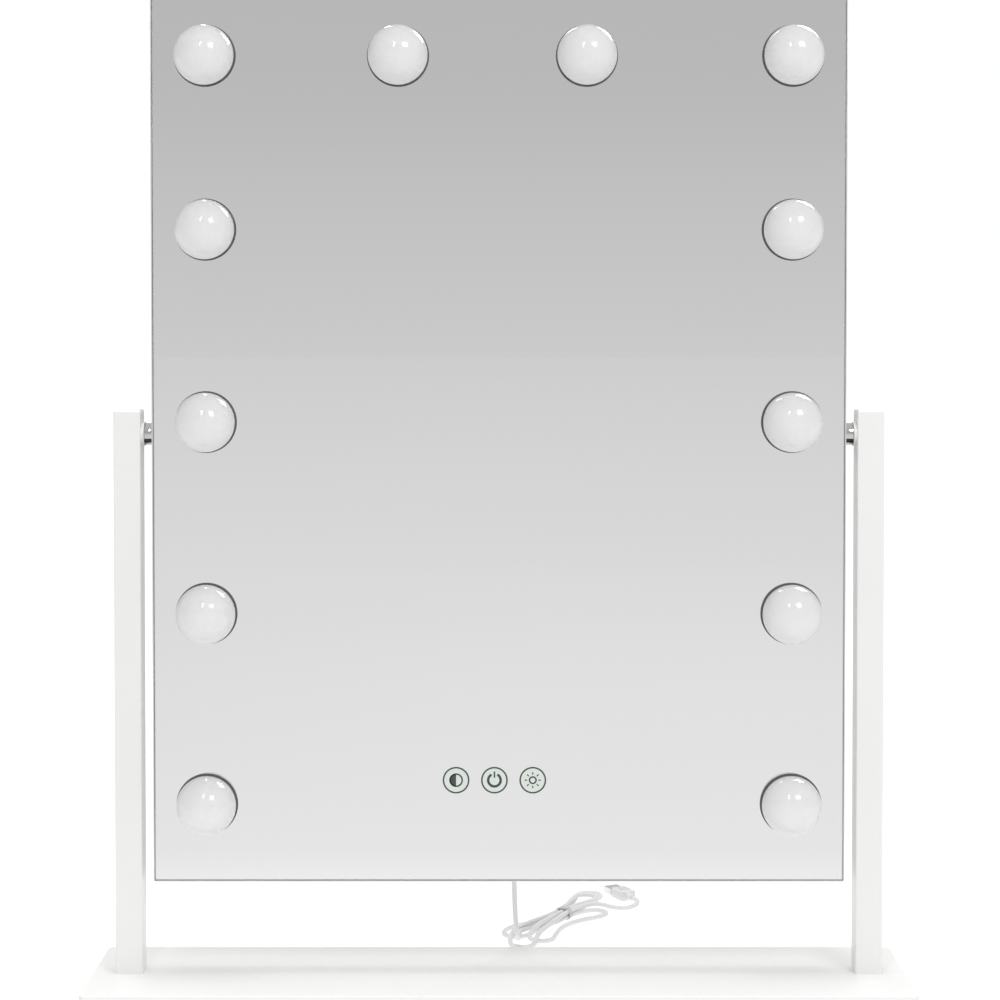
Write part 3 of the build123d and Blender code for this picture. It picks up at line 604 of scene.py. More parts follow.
class Repeater:
    """Geometry Nodes trees that set out copies of a small piece."""

    def __init__(self) -> None:
        """Build one tree for each layout."""
        self.trees = {layout: self._build(layout) for layout in Layout}

    @staticmethod
    def _build(layout: Layout) -> bpy.types.NodeTree:
        """Build the tree of one layout.

        Args:
            layout: where the copies go.

        Returns:
            A tree that ends in Realize Instances and Set Material.
        """
        group = bpy.data.node_groups.new(f"Copies {layout.value}", "GeometryNodeTree")
        wanted = [
            ("Geometry", "NodeSocketGeometry"),
            ("Piece", "NodeSocketObject"),
            ("Count", "NodeSocketInt"),
            ("Middle", "NodeSocketVector"),
            ("Step", "NodeSocketVector"),
            ("Taper", "NodeSocketFloat"),
            ("Material", "NodeSocketMaterial"),
        ]
        for name, kind in wanted:
            group.interface.new_socket(name=name, in_out="INPUT", socket_type=kind)
        group.interface.new_socket(name="Geometry", in_out="OUTPUT", socket_type="NodeSocketGeometry")
        tree = Tree(group)
        start, end = tree.add("NodeGroupInput"), tree.add("NodeGroupOutput")
        index = tree.add("GeometryNodeInputIndex").outputs[0]
        piece = tree.add("GeometryNodeObjectInfo", {"Object": start.outputs["Piece"]}).outputs["Geometry"]
        copies = tree.add("GeometryNodeInstanceOnPoints", {"Instance": piece})
        if layout is Layout.POINTS:
            tree.join(start.outputs["Geometry"], copies.inputs["Points"])
        else:
            reach = {"Count": start.outputs["Count"], "Start Location": start.outputs["Middle"]}
            row = tree.add("GeometryNodeMeshLine", reach)
            tree.join(row.outputs[0], copies.inputs["Points"])
            if layout is Layout.ROUND:
                row.inputs["Offset"].default_value = (0.0, 0.0, 0.0)
                turn = tree.math("MULTIPLY", index, tree.math("DIVIDE", 2 * pi, start.outputs["Count"]))
                angles = tree.add("ShaderNodeCombineXYZ", {1: turn})
                tree.join(angles.outputs[0], copies.inputs["Rotation"])
            else:
                tree.join(start.outputs["Step"], row.inputs["Offset"])
                size = tree.math("SUBTRACT", 1.0, tree.math("MULTIPLY", index, start.outputs["Taper"]))
                tree.join(size, copies.inputs["Scale"])
        real = tree.add("GeometryNodeRealizeInstances", {"Geometry": copies.outputs[0]})
        dressed = {"Geometry": real.outputs[0], "Material": start.outputs["Material"]}
        tree.join(tree.add("GeometryNodeSetMaterial", dressed).outputs[0], end.inputs[0])
        return group

    def make(self, layout: Layout, piece: bpy.types.Mesh, material: bpy.types.Material, points: Sequence[Point] = (),
             count: int = 0, middle: Point = (0.0, 0.0, 0.0), step: Point = (0.0, 0.0, 0.0),
             taper: float = 0.0) -> bpy.types.Mesh:
        """Run a tree and take its plain mesh.

        Args:
            layout: where the copies go.
            piece: mesh that is repeated, its own place at the origin.
            material: material of the copies.
            points: places for POINTS.
            count: number of copies for ROUND and ROW.
            middle: centre for ROUND, first place for ROW.
            step: from each copy to the next, for ROW.
            taper: share of size lost at each step, for ROW.

        Returns:
            The copies as one mesh.
        """
        source = new_object("copied", piece)
        places = bpy.data.meshes.new("places")
        places.from_pydata(list(points) or [(0.0, 0.0, 0.0)], [], [])
        holder = new_object("places", places)
        modifier = holder.modifiers.new("Copies", "NODES")
        modifier.node_group = self.trees[layout]
        values = {"Piece": source, "Count": count, "Middle": middle, "Step": step, "Taper": taper,
                  "Material": material}
        for item in self.trees[layout].interface.items_tree:
            if item.in_out == "INPUT" and item.name in values:
                modifier[item.identifier] = values[item.name]
        bpy.context.view_layer.update()
        ready = holder.evaluated_get(bpy.context.evaluated_depsgraph_get())
        mesh = bpy.data.meshes.new_from_object(ready)
        holder.modifiers.clear()
        for used in (holder, source):
            held = used.data
            bpy.data.objects.remove(used)
            bpy.data.meshes.remove(held)
        smooth(mesh)
        return mesh


# ---------------------------------------------------------------- studio
@dataclass
class Studio:
    """Camera, lights, floor and surroundings."""

    camera_place: Point = (0.0007, -1.5131, 0.4419)
    camera_pitch: float = 1.615
    camera_lens: float = 81.69
    camera_shift: float = -0.11
    floor_size: float = 60.0

    def camera(self) -> None:
        """Set the camera, level but for a slight look down."""
        data = bpy.data.cameras.new("camera")
        data.lens = self.camera_lens
        data.sensor_width = 36.0
        data.shift_y = self.camera_shift
        data.clip_end = 100.0
        camera = bpy.data.objects.new("camera", data)
        camera.location = self.camera_place
        camera.rotation_euler = (radians(90.0 - self.camera_pitch), 0.0, 0.0)
        bpy.context.scene.collection.objects.link(camera)
        bpy.context.scene.camera = camera
        bpy.context.scene.view_settings.view_transform = "Standard"

    def floor(self) -> None:
        """Lay a pale floor that loses its glow far in front of the object."""
        half = self.floor_size / 2
        build = bmesh.new()
        corners = [(-half, -half), (half, -half), (half, half), (-half, half)]
        build.faces.new([build.verts.new((x, y, 0.0)) for x, y in corners])
        mesh = bpy.data.meshes.new("floor")
        build.to_mesh(mesh)
        build.free()
        floor = new_object("floor", mesh)
        material = bpy.data.materials.new("pale_floor")
        material.use_nodes = True
        material.node_tree.nodes.clear()
        tree = Tree(material.node_tree)
        place = tree.add("ShaderNodeTexCoord").outputs["Object"]
        depth = tree.add("ShaderNodeSeparateXYZ", {0: place}).outputs[1]
        ahead = tree.math("MAXIMUM", tree.math("MULTIPLY", depth, -1.0), 0.0)
        far = tree.math("LOGARITHM", tree.math("ADD", ahead, 1.0), 21.0)
        ramp = tree.add("ShaderNodeValToRGB", {0: far})
        glow = [(0.0, 0.95), (0.05, 0.68), (0.114, 0.515), (0.167, 0.495), (0.225, 0.49), (0.29, 0.505),
                (0.36, 0.53), (0.45, 0.583), (0.57, 0.576), (0.73, 0.549), (1.0, 0.519)]
        self._stops(ramp, glow)
        noise = tree.add("ShaderNodeTexNoise", {"Vector": place, "Scale": 3.0, "Detail": 3.0})
        shader = tree.add("ShaderNodeBsdfPrincipled")
        shader.inputs["Roughness"].default_value = 0.9
        shader.inputs["Specular IOR Level"].default_value = 0.1
        shader.inputs["Emission Strength"].default_value = 1.0
        cloud = tree.spread(noise.outputs[0], 0.3, 0.7, 0.0, 0.1)
        color = tree.blend(cloud, (0.24, 0.24, 0.24, 1), (0.22, 0.22, 0.22, 1))
        tree.join(color, shader.inputs["Base Color"])
        tree.join(ramp.outputs[0], shader.inputs["Emission Color"])
        out = tree.add("ShaderNodeOutputMaterial")
        tree.join(shader.outputs[0], out.inputs[0])
        floor.data.materials.append(material)

    @staticmethod
    def _stops(ramp: bpy.types.Node, stops: Sequence[tuple[float, float]]) -> None:
        """Set a colour ramp's grey stops.

        Args:
            ramp: the Color Ramp node.
            stops: place and grey of each stop, in order.
        """
        elements = ramp.color_ramp.elements
        while len(elements) < len(stops):
            elements.new(0.5)
        for element, (place, grey) in zip(elements, stops):
            element.position = place
            element.color = (grey, grey, grey, 1.0)

    def surroundings(self) -> None:
        """White room behind the object, a grey one in front of it and a bright ceiling."""
        world = bpy.data.worlds.new("studio")
        world.use_nodes = True
        world.node_tree.nodes.clear()
        tree = Tree(world.node_tree)
        way = tree.add("ShaderNodeTexCoord").outputs["Generated"]
        parts = tree.add("ShaderNodeSeparateXYZ", {0: way})
        front = tree.add("ShaderNodeValToRGB", {0: tree.math("ADD", parts.outputs[2], 0.02)})
        self._stops(front, [(0.0, 0.66), (0.02, 0.637), (0.0535, 0.605), (0.08, 0.58), (0.106, 0.547), (0.132, 0.526),
                            (0.158, 0.519), (0.35, 0.46), (0.6, 0.52), (1.0, 0.62)])
        seen = tree.add("ShaderNodeLightPath").outputs["Is Camera Ray"]
        behind = tree.blend(seen, (0.62, 0.62, 0.62, 1.0), (1.02, 1.02, 1.02, 1.0))
        side = tree.spread(parts.outputs[1], -0.35, 0.25, 0.0, 1.0)
        color = tree.blend(side, front.outputs[0], behind)
        back = tree.add("ShaderNodeBackground", {0: color, 1: 1.0})
        out = tree.add("ShaderNodeOutputWorld")
        tree.join(back.outputs[0], out.inputs[0])
        bpy.context.scene.world = world

    def lights(self) -> None:
        """A large key from the right, a tall strip and a weak fill."""
        self._panel("key", (0.9, -1.5, 1.7), (0.0, 0.0, 0.35), (0.7, 0.7), 12.0)
        self._panel("strip", (-0.35, -1.3, 1.5), (0.0, 0.0, 0.4), (0.08, 0.5), 4.0)
        self._panel("front", (0.0, -2.6, 0.9), (0.0, 0.0, 0.3), (2.0, 1.0), 2.2, False)

    def light_pieces(self, stand: Iterable[bpy.types.Object], domes: Iterable[bpy.types.Object]) -> None:
        """Hang the lights that bring out single pieces.

        Args:
            stand: what the light from above falls on.
            domes: what the low light in front falls on.
        """
        top = self._panel("top", (0.0, -0.05, 2.2), (0.0, 0.0, 0.3), (1.6, 1.2), 30.0, False)
        low = self._panel("low", (0.0, -0.7, 0.05), (0.0, 0.0, 0.15), (1.0, 0.2), 1.0, False)
        for light, pieces in ((top, stand), (low, domes)):
            lit = bpy.data.collections.new(f"lit by {light.name}")
            for piece in pieces:
                lit.objects.link(piece)
            light.light_linking.receiver_collection = lit

    @staticmethod
    def _panel(name: str, place: Point, target: Point, size: tuple[float, float], power: float,
               mirrored: bool = True) -> bpy.types.Object:
        """Hang one rectangular light.

        Args:
            name: name of the light.
            place: its middle.
            target: what it points at.
            size: its width and height.
            power: watts.
            mirrored: whether it shows in polished surfaces.

        Returns:
            The light.
        """
        data = bpy.data.lights.new(name, "AREA")
        data.shape = "RECTANGLE"
        data.size, data.size_y = size
        data.energy = power
        light = bpy.data.objects.new(name, data)
        light.location = place
        light.visible_glossy = mirrored
        light.rotation_euler = (Vector(target) - Vector(place)).to_track_quat("-Z", "Y").to_euler()
        bpy.context.scene.collection.objects.link(light)
        return light


# ---------------------------------------------------------------- supply lead
@dataclass
class SupplyLead:
    """The thin white lead: it hangs from its elbow plug, is folded into a tied hank and ends in a plug.

    Points are in millimetres and are the control points of one smooth line.
    """

    shop: FinishShop
    copies: Repeater
    diameter: float = 0.0035
    length: float = 1.13
    exit: Point = (0.010, 0.0197, 0.088)
    hang_end: Point = (0.0136, 0.0845, 0.0056)
    tie_at: tuple[float, float] = (0.048, 0.1665)
    tie_turn: float = -20.0
    tie_width: float = 0.005
    tie_half: float = 0.0063
    tie_top: float = 0.0087
    tie_skin: float = 0.0008
    plug_turn: float = 27.0

    DROP = [
        (10, 19.7, 88), (10, 19.7, 76), (10.4, 25.5, 61), (10.9, 35.5, 44), (11.6, 50, 28.5), (12.5, 67, 15),
        (13.6, 84.5, 7.2), (14.3, 99, 5.5),
    ]
    HANK = [
        (14.5, 111, 5.3), (15.8, 121.5, 3.4), (24.5, 138, 1.8), (38.5, 153.5, 2.2), (48, 166.5, 2.55),
        (55, 181.5, 2.2), (63, 195, 1.9), (71, 208, 1.75), (77, 221, 1.75), (79, 231.5, 1.75),
        (74.8, 237.7, 1.75), (67.4, 239.1, 1.75), (61.3, 234.8, 1.75), (59.5, 224.6, 1.75), (56.5, 207, 1.75),
        (50.5, 188, 2.2), (44.57, 167.75, 2.55), (35, 157, 2.2), (23, 148.5, 1.75), (10.5, 140, 1.75),
        (4, 128.5, 1.75), (3.2, 117.3, 1.75), (8.8, 110.6, 1.75), (16.8, 110.8, 1.75), (22, 118, 1.75),
        (26.8, 129, 1.75), (34, 140.5, 1.8), (43.8, 152.8, 2.2), (51.43, 165.25, 2.55), (58.5, 175.8, 2.3),
        (65.8, 185, 1.75), (74.4, 186.6, 1.75), (80.3, 181, 1.75), (80.5, 173.4, 1.75), (74, 166.4, 1.75),
        (62.5, 158.5, 1.75), (53.5, 149.5, 1.75), (46.5, 138, 1.75), (42.3, 124, 1.75), (40.2, 112, 1.75),
        (38.4, 103.4, 1.75), (32.3, 98.9, 1.75), (25, 100.3, 1.75), (21.4, 106.9, 2.4), (23.6, 116.3, 4.2),
        (26.5, 125, 5.3), (31, 136, 5.6), (40, 152, 5.9), (48, 166.5, 6.05), (57, 183, 5.8), (67.3, 196.5, 5.4),
        (71.3, 202.2, 5.3), (74.6, 208, 5.3), (73.7, 214, 5.3), (69.3, 218.1, 5.3), (63.3, 218.4, 5.3),
        (58.5, 214.8, 5.3), (56.4, 207.6, 5.4), (52.5, 191, 5.8), (44.57, 167.75, 6.05), (35, 151.5, 6),
        (23, 137, 5.8), (13.5, 122, 5.6), (9.3, 108.5, 5.4), (7.8, 98.5, 3.2), (8.2, 89.6, 1.9),
        (12.8, 83.6, 1.75), (20.4, 83.2, 1.75), (25.6, 88.6, 2.6), (26.6, 95.5, 4.8), (28, 103, 5.7),
        (31, 115, 5.6), (36.5, 130, 5.6), (44.2, 149.5, 5.9), (51.43, 165.25, 6.05), (60.5, 180.5, 5.8),
        (69, 190, 5.4),
    ]
    LEAD = [
        (77, 195.5, 4.0), (86, 193.2, 1.9), (94.37, 191.13, 1.75), (101.04, 194.1, 2.2), (105.174, 200, 3.1),
        (105.669, 207.085, 4), (102.4, 213.5, 4),
    ]

    def build(self) -> None:
        points = [(x * MM, y * MM, z * MM) for x, y, z in self.DROP + self.HANK + self.LEAD]
        line = smooth_line(points, 10)
        lead = self._lead(line)
        tie = self._tie()
        grip = self._grip()
        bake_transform(lead)
        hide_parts("cord_drop", "cord_hank", "cord_lead")
        travel = float(np.linalg.norm(np.diff(line, axis=0), axis=1).sum())
        log.info("supply_lead: %.3f m along its middle, %d rings", travel, len(line))

    def _lead(self, line: np.ndarray) -> bpy.types.Object:
        """The tube of the lead.

        Args:
            line: points along its middle.

        Returns:
            The lead.
        """
        build = bmesh.new()
        add_tube(build, line, [self.diameter / 2] * len(line))
        mesh = bpy.data.meshes.new("supply_lead")
        build.to_mesh(mesh)
        build.free()
        smooth(mesh)
        lead = new_object("supply_lead", mesh)
        self.shop.dress(lead, "cord_white")
        return lead

    def _tie(self) -> bpy.types.Object:
        """Soft flat band round the hank, its end tucked over.

        Returns:
            The tie.
        """
        build = bmesh.new()
        half_w, half_h, w = self.tie_half, self.tie_top / 2, self.tie_width / 2
        turn = Matrix.Translation((*self.tie_at, 0.0)) @ Matrix.Rotation(radians(self.tie_turn), 4, "Z")
        rows = []
        steps = 40
        for k in range(steps):
            t = 2 * pi * k / steps
            x = half_w * np.sign(cos(t)) * abs(cos(t)) ** 0.6
            z = half_h + half_h * np.sign(sin(t)) * abs(sin(t)) ** 0.6
            out = Vector((x / half_w, 0.0, (z - half_h) / half_h)).normalized()
            spot = Vector((x, 0.0, z))
            inner = spot - out * self.tie_skin
            aside = Vector((0, w, 0))
            edge = [spot - aside, spot + aside, inner + aside, inner - aside]
            rows.append([build.verts.new(turn @ e) for e in edge])
        for low_row, high_row in zip(rows, rows[1:] + rows[:1]):
            for k in range(4):
                n = (k + 1) % 4
                build.faces.new([low_row[k], low_row[n], high_row[n], high_row[k]])
        add_rounded_box(build, (0.006, self.tie_width, 0.0011), turn @ Matrix.Translation((0.001, 0, 0.0089)), 0.0004)
        tie = new_object("lead_tie", mesh_from(build))
        self.shop.dress(tie, "tie_white")
        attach(tie, STAND)
        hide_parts("cord_tie")
        return tie

    def _grip(self) -> bpy.types.Object:
        """Moulded grip of the plug with raised bars, and its short tail.

        Returns:
            The grip.
        """
        end = Vector(self.LEAD[-1]) * MM
        place = Matrix.Translation(end) @ Matrix.Rotation(radians(self.plug_turn), 4, "Z")
        bar = bmesh.new()
        add_rounded_box(bar, (0.0088, 0.0011, 0.0007), Matrix.Identity(4), 0.0003, 2)
        bars = self.copies.make(Layout.ROW, mesh_from(bar), self.shop.of("cord_white"), count=4,
                                middle=(0.0, 0.0115, 0.0), step=(0.0, 0.0023, 0.0))
        build = bmesh.new()
        bars.transform(place @ Matrix.Translation((0.0, 0.0, 0.0041)))
        build.from_mesh(bars)
        bpy.data.meshes.remove(bars)
        add_rounded_box(build, (0.013, 0.017, 0.008), place @ Matrix.Translation((0.0, 0.0145, 0.0)), 0.0018, 4)
        tail = [(0.0, 0.0), (0.0022, 0.0), (0.0024, 0.001), (0.0031, 0.006), (0.0031, 0.0066), (0.0, 0.0066)]
        add_turned(build, tail, place, 32)
        grip = new_object("plug_grip", mesh_from(build))
        self.shop.dress(grip, "cord_white")
        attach(grip, STAND)
        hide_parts("usb_plug_body")
        return grip


# ---------------------------------------------------------------- mirror head
@dataclass
class Lamps:
    """The twelve milky domes."""

    shop: FinishShop
    copies: Repeater
    radius: float = 0.0197
    ahead: float = 0.006
    wall: float = 0.0016
    seat: float = 0.0005
    glass: float = 0.004
    flange: float = 0.0015
    flange_radius: float = 0.02202

    def build(self) -> None:
        """Turn one dome and set a copy at each lamp."""
        nodes = [f"lamp_dome_{k:02d}" for k in range(1, 13)]
        boxes = [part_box(node) for node in nodes]
        front = float(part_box("mirror_glass")[0].y)
        places = [((low.x + high.x) / 2, front, (low.z + high.z) / 2) for low, high in boxes]
        dome = turned(self._profile(), segments=72)
        mesh = self.copies.make(Layout.POINTS, dome, self.shop.of("milky_dome"), points=places)
        domes = new_object("lamp_domes", mesh)
        self.shop.dress(domes, "milky_dome")
        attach(domes, HEAD)
        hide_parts(*nodes)
        log.info("lamp_domes: %d domes", len(places))

    def _profile(self) -> list[tuple[float, float]]:
        """Outline of a dome, from its pole round the wall and back inside; y is 0 at the glass.

        Returns:
            Radius and y of each point of the outline.
        """
        outer = self._arc(self.radius, 26)
        inner = self._arc(self.radius - self.wall, 16)
        neck, bore = outer[-1][0], inner[-1][0]
        back = self.glass + self.flange
        flange = [(self.flange_radius, self.glass), (self.flange_radius, back)]
        rim = [(neck, 0.0), (neck, self.glass), *flange, (bore, back)]
        return outer + rim + list(reversed(inner))

    def _arc(self, radius: float, steps: int) -> list[tuple[float, float]]:
        """Arc of a dome's wall from its pole to its seat on the glass.

        Args:
            radius: radius of this face of the wall.
            steps: pieces of the arc.

        Returns:
            Radius and y of each point.
        """
        last = pi / 2 + np.arcsin((self.ahead - self.seat) / radius)
        turns = [last * k / steps for k in range(steps + 1)]
        arc = [(radius * sin(t), -self.ahead - radius * cos(t)) for t in turns]
        return [(0.0, arc[0][1])] + arc[1:]


@dataclass
class TouchMarks:
    """Three printed marks on the glass: brightness, on and off, and light."""

    shop: FinishShop
    copies: Repeater
    pitch: float = 0.0255
    ring_radius: float = 0.0089
    line: float = 0.00105
    symbol_line: float = 0.0017
    half_radius: float = 0.0046
    half_fill: float = 0.0040
    switch_radius: float = 0.0050
    switch_start: float = 117.0
    switch_turn: float = 306.0
    switch_bar: tuple[float, float] = (0.0016, 0.0058)
    sun_radius: float = 0.0027
    sun_rays: int = 8
    ray_ends: tuple[float, float] = (0.0037, 0.0054)
    ray_half: float = 0.0004
    thick: float = 0.00005

    def build(self) -> None:
        """Build the dark lines and the pale discs under them."""
        low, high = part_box("touch_pads")
        middle = Vector(((low.x + high.x) / 2, float(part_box("mirror_glass")[0].y), (low.z + high.z) / 2))
        spots = [middle + Vector((k * self.pitch, 0.0, 0.0)) for k in (-1, 0, 1)]
        lines, discs = bmesh.new(), bmesh.new()
        for spot in spots:
            self._ring(lines, spot, self.ring_radius, self.line)
            disc = self._circle(spot, self.ring_radius - self.line / 2, 72)
            add_prism(discs, disc, spot.y - self.thick / 2, spot.y)
        self._half_disc(lines, spots[0])
        self._switch(lines, spots[1])
        self._sun(lines, spots[2])
        for name, build, finish in (("touch_marks", lines, "mark_line"), ("touch_mark_discs", discs, "mark_fill")):
            piece = new_object(name, mesh_from(build))
            self.shop.dress(piece, finish, "mirror")
            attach(piece, HEAD)
        log.info("touch_marks: %d marks", len(spots))

    @staticmethod
    def _circle(spot: Vector, radius: float, steps: int, start: float = 0.0,
                turn: float = 2 * pi) -> list[tuple[float, float]]:
        """Points of an arc in X and Z; a whole circle leaves out its last point.

        Args:
            spot: middle of the arc.
            radius: its radius.
            steps: its pieces.
            start: angle of its first point.
            turn: angle that it covers.

        Returns:
            The points, in X and Z.
        """
        whole = abs(turn - 2 * pi) < 1e-6
        angles = [start + turn * k / steps for k in range(steps if whole else steps + 1)]
        return [(spot.x + radius * cos(a), spot.z + radius * sin(a)) for a in angles]

    def _ring(self, build: bmesh.types.BMesh, spot: Vector, radius: float, width: float) -> None:
        """Flat ring round a spot.

        Args:
            build: mesh that takes the ring.
            spot: its middle.
            radius: its outer radius.
            width: width of its line.
        """
        inner, outer = radius - width, radius
        profile = [(inner, 0.0), (outer, 0.0), (outer, -self.thick), (inner, -self.thick), (inner, 0.0)]
        add_turned(build, profile, Matrix.Translation(spot), 96)

    def _band(self, build: bmesh.types.BMesh, spot: Vector, radius: float, start: float, turn: float) -> None:
        """Part of a flat ring.

        Args:
            build: mesh that takes the band.
            spot: middle of the ring.
            radius: its outer radius.
            start: angle where it begins.
            turn: angle that it covers.
        """
        outer = self._circle(spot, radius, 48, start, turn)
        inner = self._circle(spot, radius - self.symbol_line, 48, start, turn)
        add_prism(build, outer + list(reversed(inner)), spot.y - self.thick, spot.y)

    def _half_disc(self, build: bmesh.types.BMesh, spot: Vector) -> None:
        """Brightness: a ring, filled on one side.

        Args:
            build: mesh that takes the mark.
            spot: middle of the mark.
        """
        self._ring(build, spot, self.half_radius, self.line)
        half = self._circle(spot, self.half_fill, 40, pi / 2, pi)
        add_prism(build, half, spot.y - self.thick, spot.y)

    def _switch(self, build: bmesh.types.BMesh, spot: Vector) -> None:
        """On and off: an open ring with a bar.

        Args:
            build: mesh that takes the mark.
            spot: middle of the mark.
        """
        self._band(build, spot, self.switch_radius, radians(self.switch_start), radians(self.switch_turn))
        half = self.line / 2
        low, high = (spot.z + up for up in self.switch_bar)
        bar = [(spot.x - half, low), (spot.x + half, low), (spot.x + half, high), (spot.x - half, high)]
        add_prism(build, bar, spot.y - self.thick, spot.y)

    def _sun(self, build: bmesh.types.BMesh, spot: Vector) -> None:
        """Light: a small ring with eight rays.

        Args:
            build: mesh that takes the mark.
            spot: middle of the mark.
        """
        self._ring(build, spot, self.sun_radius, self.line)
        ray = bmesh.new()
        (near, far), half = self.ray_ends, self.ray_half
        add_prism(ray, [(near, -half), (far, -half), (far, half), (near, half)], -self.thick, 0.0)
        rays = self.copies.make(Layout.ROUND, mesh_from(ray), self.shop.of("mark_line"), count=self.sun_rays,
                                middle=tuple(spot))
        build.from_mesh(rays)
        bpy.data.meshes.remove(rays)


@dataclass
class Pivots:
    """Polished collars between the head and the posts."""

    shop: FinishShop
    edge: float = 0.0006
    bore: float = 0.0031

    def build(self) -> None:
        """Turn both collars in one piece."""
        build = bmesh.new()
        for node in ("left_collar", "right_collar"):
            low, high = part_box(node)
            radius, half = (high.z - low.z) / 2, (high.x - low.x) / 2
            middle = (low + high) / 2
            place = Matrix.Translation(middle) @ Matrix.Rotation(radians(-90), 4, "Z")
            turns = (0, pi / 6, pi / 3, pi / 2)
            rim = [(radius - self.edge * (1 - cos(t)), half - self.edge * (1 - sin(t))) for t in turns]
            other = [(r, -y) for r, y in rim]
            profile = [(self.bore, half), *reversed(rim), *other, (self.bore, -half), (self.bore, half)]
            add_turned(build, profile, place, 96)
        collars = new_object("pivot_collars", mesh_from(build))
        self.shop.dress(collars, "chrome")
        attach(collars, HEAD)
        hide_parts("left_collar", "right_collar")
        log.info("pivot_collars: 2 collars")


@dataclass
class BackScrews:
    """Pan-head screws with a cross recess round the back panel."""

    shop: FinishShop
    copies: Repeater
    head_radius: float = 0.0028
    head_height: float = 0.0018
    shank_radius: float = 0.0015
    shank: float = 0.0048
    blade: float = 0.0006

    def build(self) -> None:
        """Cut one screw and set a copy at each hole."""
        low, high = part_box("back_panel_screws")
        seat = high.y - self.head_height
        x = high.x - self.head_radius
        bottom, top = low.z + self.head_radius, high.z - self.head_radius
        middle, half = (bottom + top) / 2, 0.095
        rows = [bottom, middle - half, middle + half, top]
        places = [(side * x, seat, z) for side in (-1, 1) for z in rows] + [(0.0, seat, bottom), (0.0, seat, top)]
        mesh = self.copies.make(Layout.POINTS, self._screw(), self.shop.of("screw_zinc"), points=places)
        screws = new_object("back_screws", mesh)
        self.shop.dress(screws, "screw_zinc")
        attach(screws, HEAD)
        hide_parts("back_panel_screws")
        log.info("back_screws: %d screws", len(places))

    def _screw(self) -> bpy.types.Mesh:
        """One screw along Y, its seat at the origin.

        Returns:
            The screw's mesh.
        """
        top, edge = self.head_height, 0.0008
        crown = [(self.head_radius * cos(t), top - edge + edge * sin(t)) for t in (0.0, 0.4, 0.8, 1.15, 1.4)]
        shank = [(0.0, -self.shank), (self.shank_radius, -self.shank), (self.shank_radius, 0.0)]
        profile = [*shank, (self.head_radius, 0.0)]
        head = new_object("screw", turned([*profile, *crown, (0.0, top)], segments=32))
        cutter = bmesh.new()
        for turn in (0.0, pi / 2):
            place = Matrix.Translation((0, top, 0)) @ Matrix.Rotation(turn, 4, "Y")
            add_rounded_box(cutter, (self.head_radius * 1.3, 0.0018, self.blade), place, 0.0001, 1)
        cross = new_object("cross", mesh_from(cutter))
        cut = head.modifiers.new("cross", "BOOLEAN")
        cut.object, cut.operation, cut.solver, cut.use_self = cross, "DIFFERENCE", "EXACT", True
        ready = head.evaluated_get(bpy.context.evaluated_depsgraph_get())
        mesh = bpy.data.meshes.new_from_object(ready)
        for used in (head, cross):
            held = used.data
            bpy.data.objects.remove(used)
            bpy.data.meshes.remove(held)
        smooth(mesh, 30.0)
        return mesh


@dataclass
class ElbowPlug:
    """Right-angled plug in the back panel with a ribbed, tapered boot."""

    shop: FinishShop
    copies: Repeater
    body_radius: float = 0.0052
    body_length: float = 0.009
    jack_radius: float = 0.00275
    jack_length: float = 0.0085
    boot_length: float = 0.020
    boot_top: float = 0.0038
    boot_end: float = 0.0024
    ribs: int = 6

    def build(self) -> None:
        """Turn the body and the boot and add the ribs."""
        low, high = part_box("elbow_plug")
        x, back = (low.x + high.x) / 2, high.y
        face, z = back - self.body_length, low.z + self.boot_length
        r, soft = self.body_radius, 0.0016
        turns = (0, 0.4, 0.8, 1.2, pi / 2)
        crown = [(r - soft * (1 - cos(t)), self.body_length - soft * (1 - sin(t))) for t in turns]
        jack = [(0.0, -self.jack_length), (self.jack_radius, -self.jack_length), (self.jack_radius, 0.0), (r, 0.0)]
        build = bmesh.new()
        add_turned(build, [*jack, *crown, (0.0, self.body_length)], Matrix.Translation((x, face, z)), 48)
        down = Matrix.Translation((x, face + self.body_length / 2, z)) @ Matrix.Rotation(radians(-90), 4, "X")
        sleeve = [(0.0, 0.001), (self.boot_top, 0.001), (self.boot_end, self.boot_length), (0.0, self.boot_length)]
        add_turned(build, sleeve, down, 40)
        side = [(0.0, -0.0006), (0.0038, -0.0006), (0.0042, -0.0003)]
        rib = turned(side + [(r, -y) for r, y in reversed(side)])
        ribs = self.copies.make(Layout.ROW, rib, self.shop.of("cord_white"), count=self.ribs,
                                middle=(0.0, 0.0068, 0.0), step=(0.0, 0.0022, 0.0), taper=0.06)
        ribs.transform(down)
        build.from_mesh(ribs)
        bpy.data.meshes.remove(ribs)
        plug = new_object("elbow_plug_body", mesh_from(build))
        self.shop.dress(plug, "cord_white")
        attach(plug, HEAD)
        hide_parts("elbow_plug")
        log.info("elbow_plug_body: %d ribs", self.ribs)


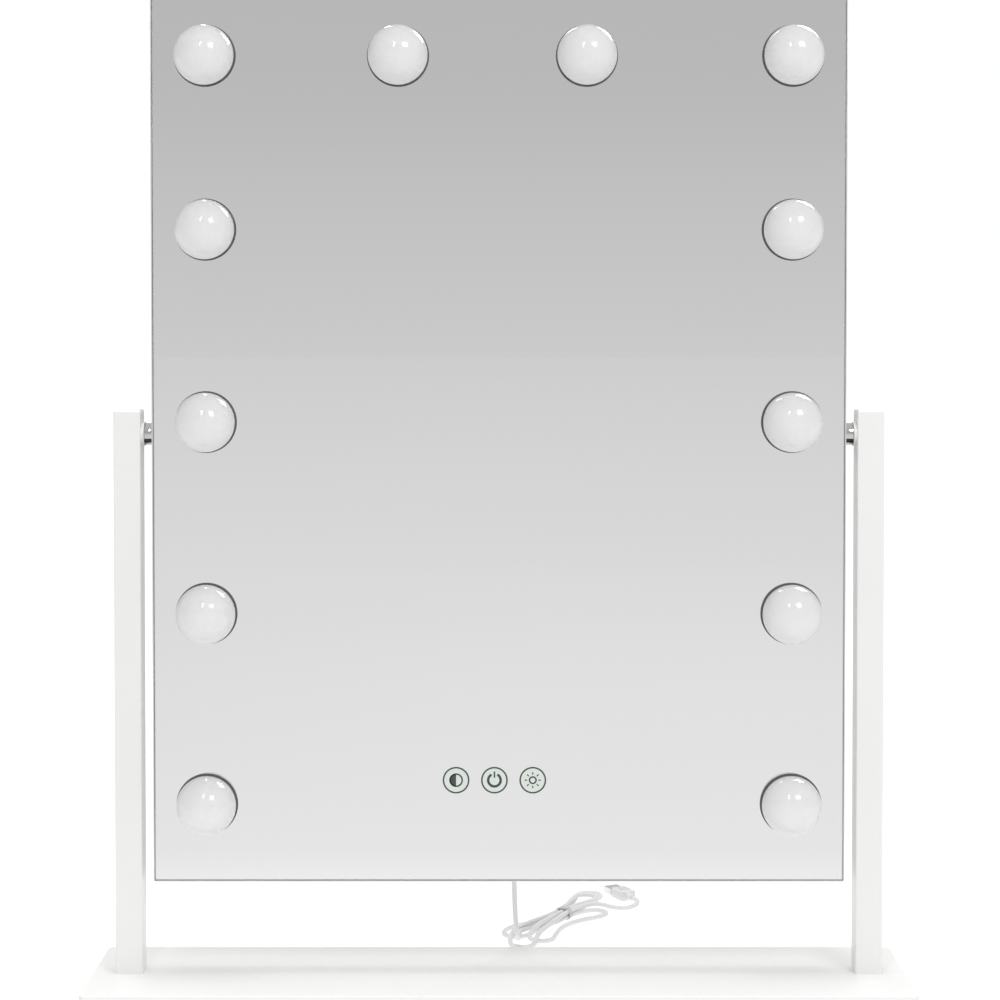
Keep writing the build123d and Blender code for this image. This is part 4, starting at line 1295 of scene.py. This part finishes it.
# ---------------------------------------------------------------- stand
@dataclass
class RubberFeet:
    """Soft feet under the base, dished in the middle."""

    shop: FinishShop
    copies: Repeater
    radius: float = 0.009
    height: float = 0.003

    def build(self) -> None:
        """Turn one foot and set it at the four corners."""
        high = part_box("rubber_feet")[1]
        x, y = high.x - self.radius, high.y - self.radius
        places = [(sx * x, sy * y, 0.0) for sx in (-1, 1) for sy in (-1, 1)]
        r, h = self.radius, self.height
        profile = [(0.0, 0.0006), (r * 0.55, 0.0006), (r * 0.62, 0.0), (r * 0.9, 0.0), (r, 0.0007), (r, h), (0.0, h)]
        upright = Matrix.Rotation(radians(90), 4, "X")
        mesh = self.copies.make(Layout.POINTS, turned(profile, upright), self.shop.of("foot_rubber"), points=places)
        feet = new_object("rubber_pads", mesh)
        self.shop.dress(feet, "foot_rubber")
        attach(feet, STAND)
        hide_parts("rubber_feet")
        log.info("rubber_pads: %d pads", len(places))


def dress_cad_nodes(shop: FinishShop) -> None:
    """Give every shown CAD node the finish of its slot in the record.

    Args:
        shop: the finishes.
    """
    slots = {row["node"]: row["material_slot"] for row in frame["record"]["subparts"]}
    for name, node in frame["nodes"].items():
        if not node.material_slots:
            node.data.materials.append(shop.of(slots[name]))
        for place in node.material_slots:
            place.material = shop.of(slots[name])
    log.info("%d CAD nodes dressed", len(frame["nodes"]))


def main() -> None:
    """Build the scene in order."""
    logging.basicConfig(level=logging.INFO, format="%(name)s %(message)s")
    studio = Studio()
    studio.camera()
    shop = FinishShop()
    copies = Repeater()
    SupplyLead(shop, copies).build()
    studio.floor()
    studio.surroundings()
    studio.lights()
    dress_cad_nodes(shop)
    for assembly in (Lamps(shop, copies), TouchMarks(shop, copies), Pivots(shop), BackScrews(shop, copies),
                     ElbowPlug(shop, copies), RubberFeet(shop, copies)):
        assembly.build()
    stand = [frame["nodes"][name] for name in frame["record"]["behaviour"]["bodies"][STAND]]
    laid = ("floor", "supply_lead", "lead_tie", "plug_grip", "rubber_pads")
    studio.light_pieces([*stand, *(bpy.data.objects[name] for name in laid)], [bpy.data.objects["lamp_domes"]])


if __name__ == "__main__":
    main()
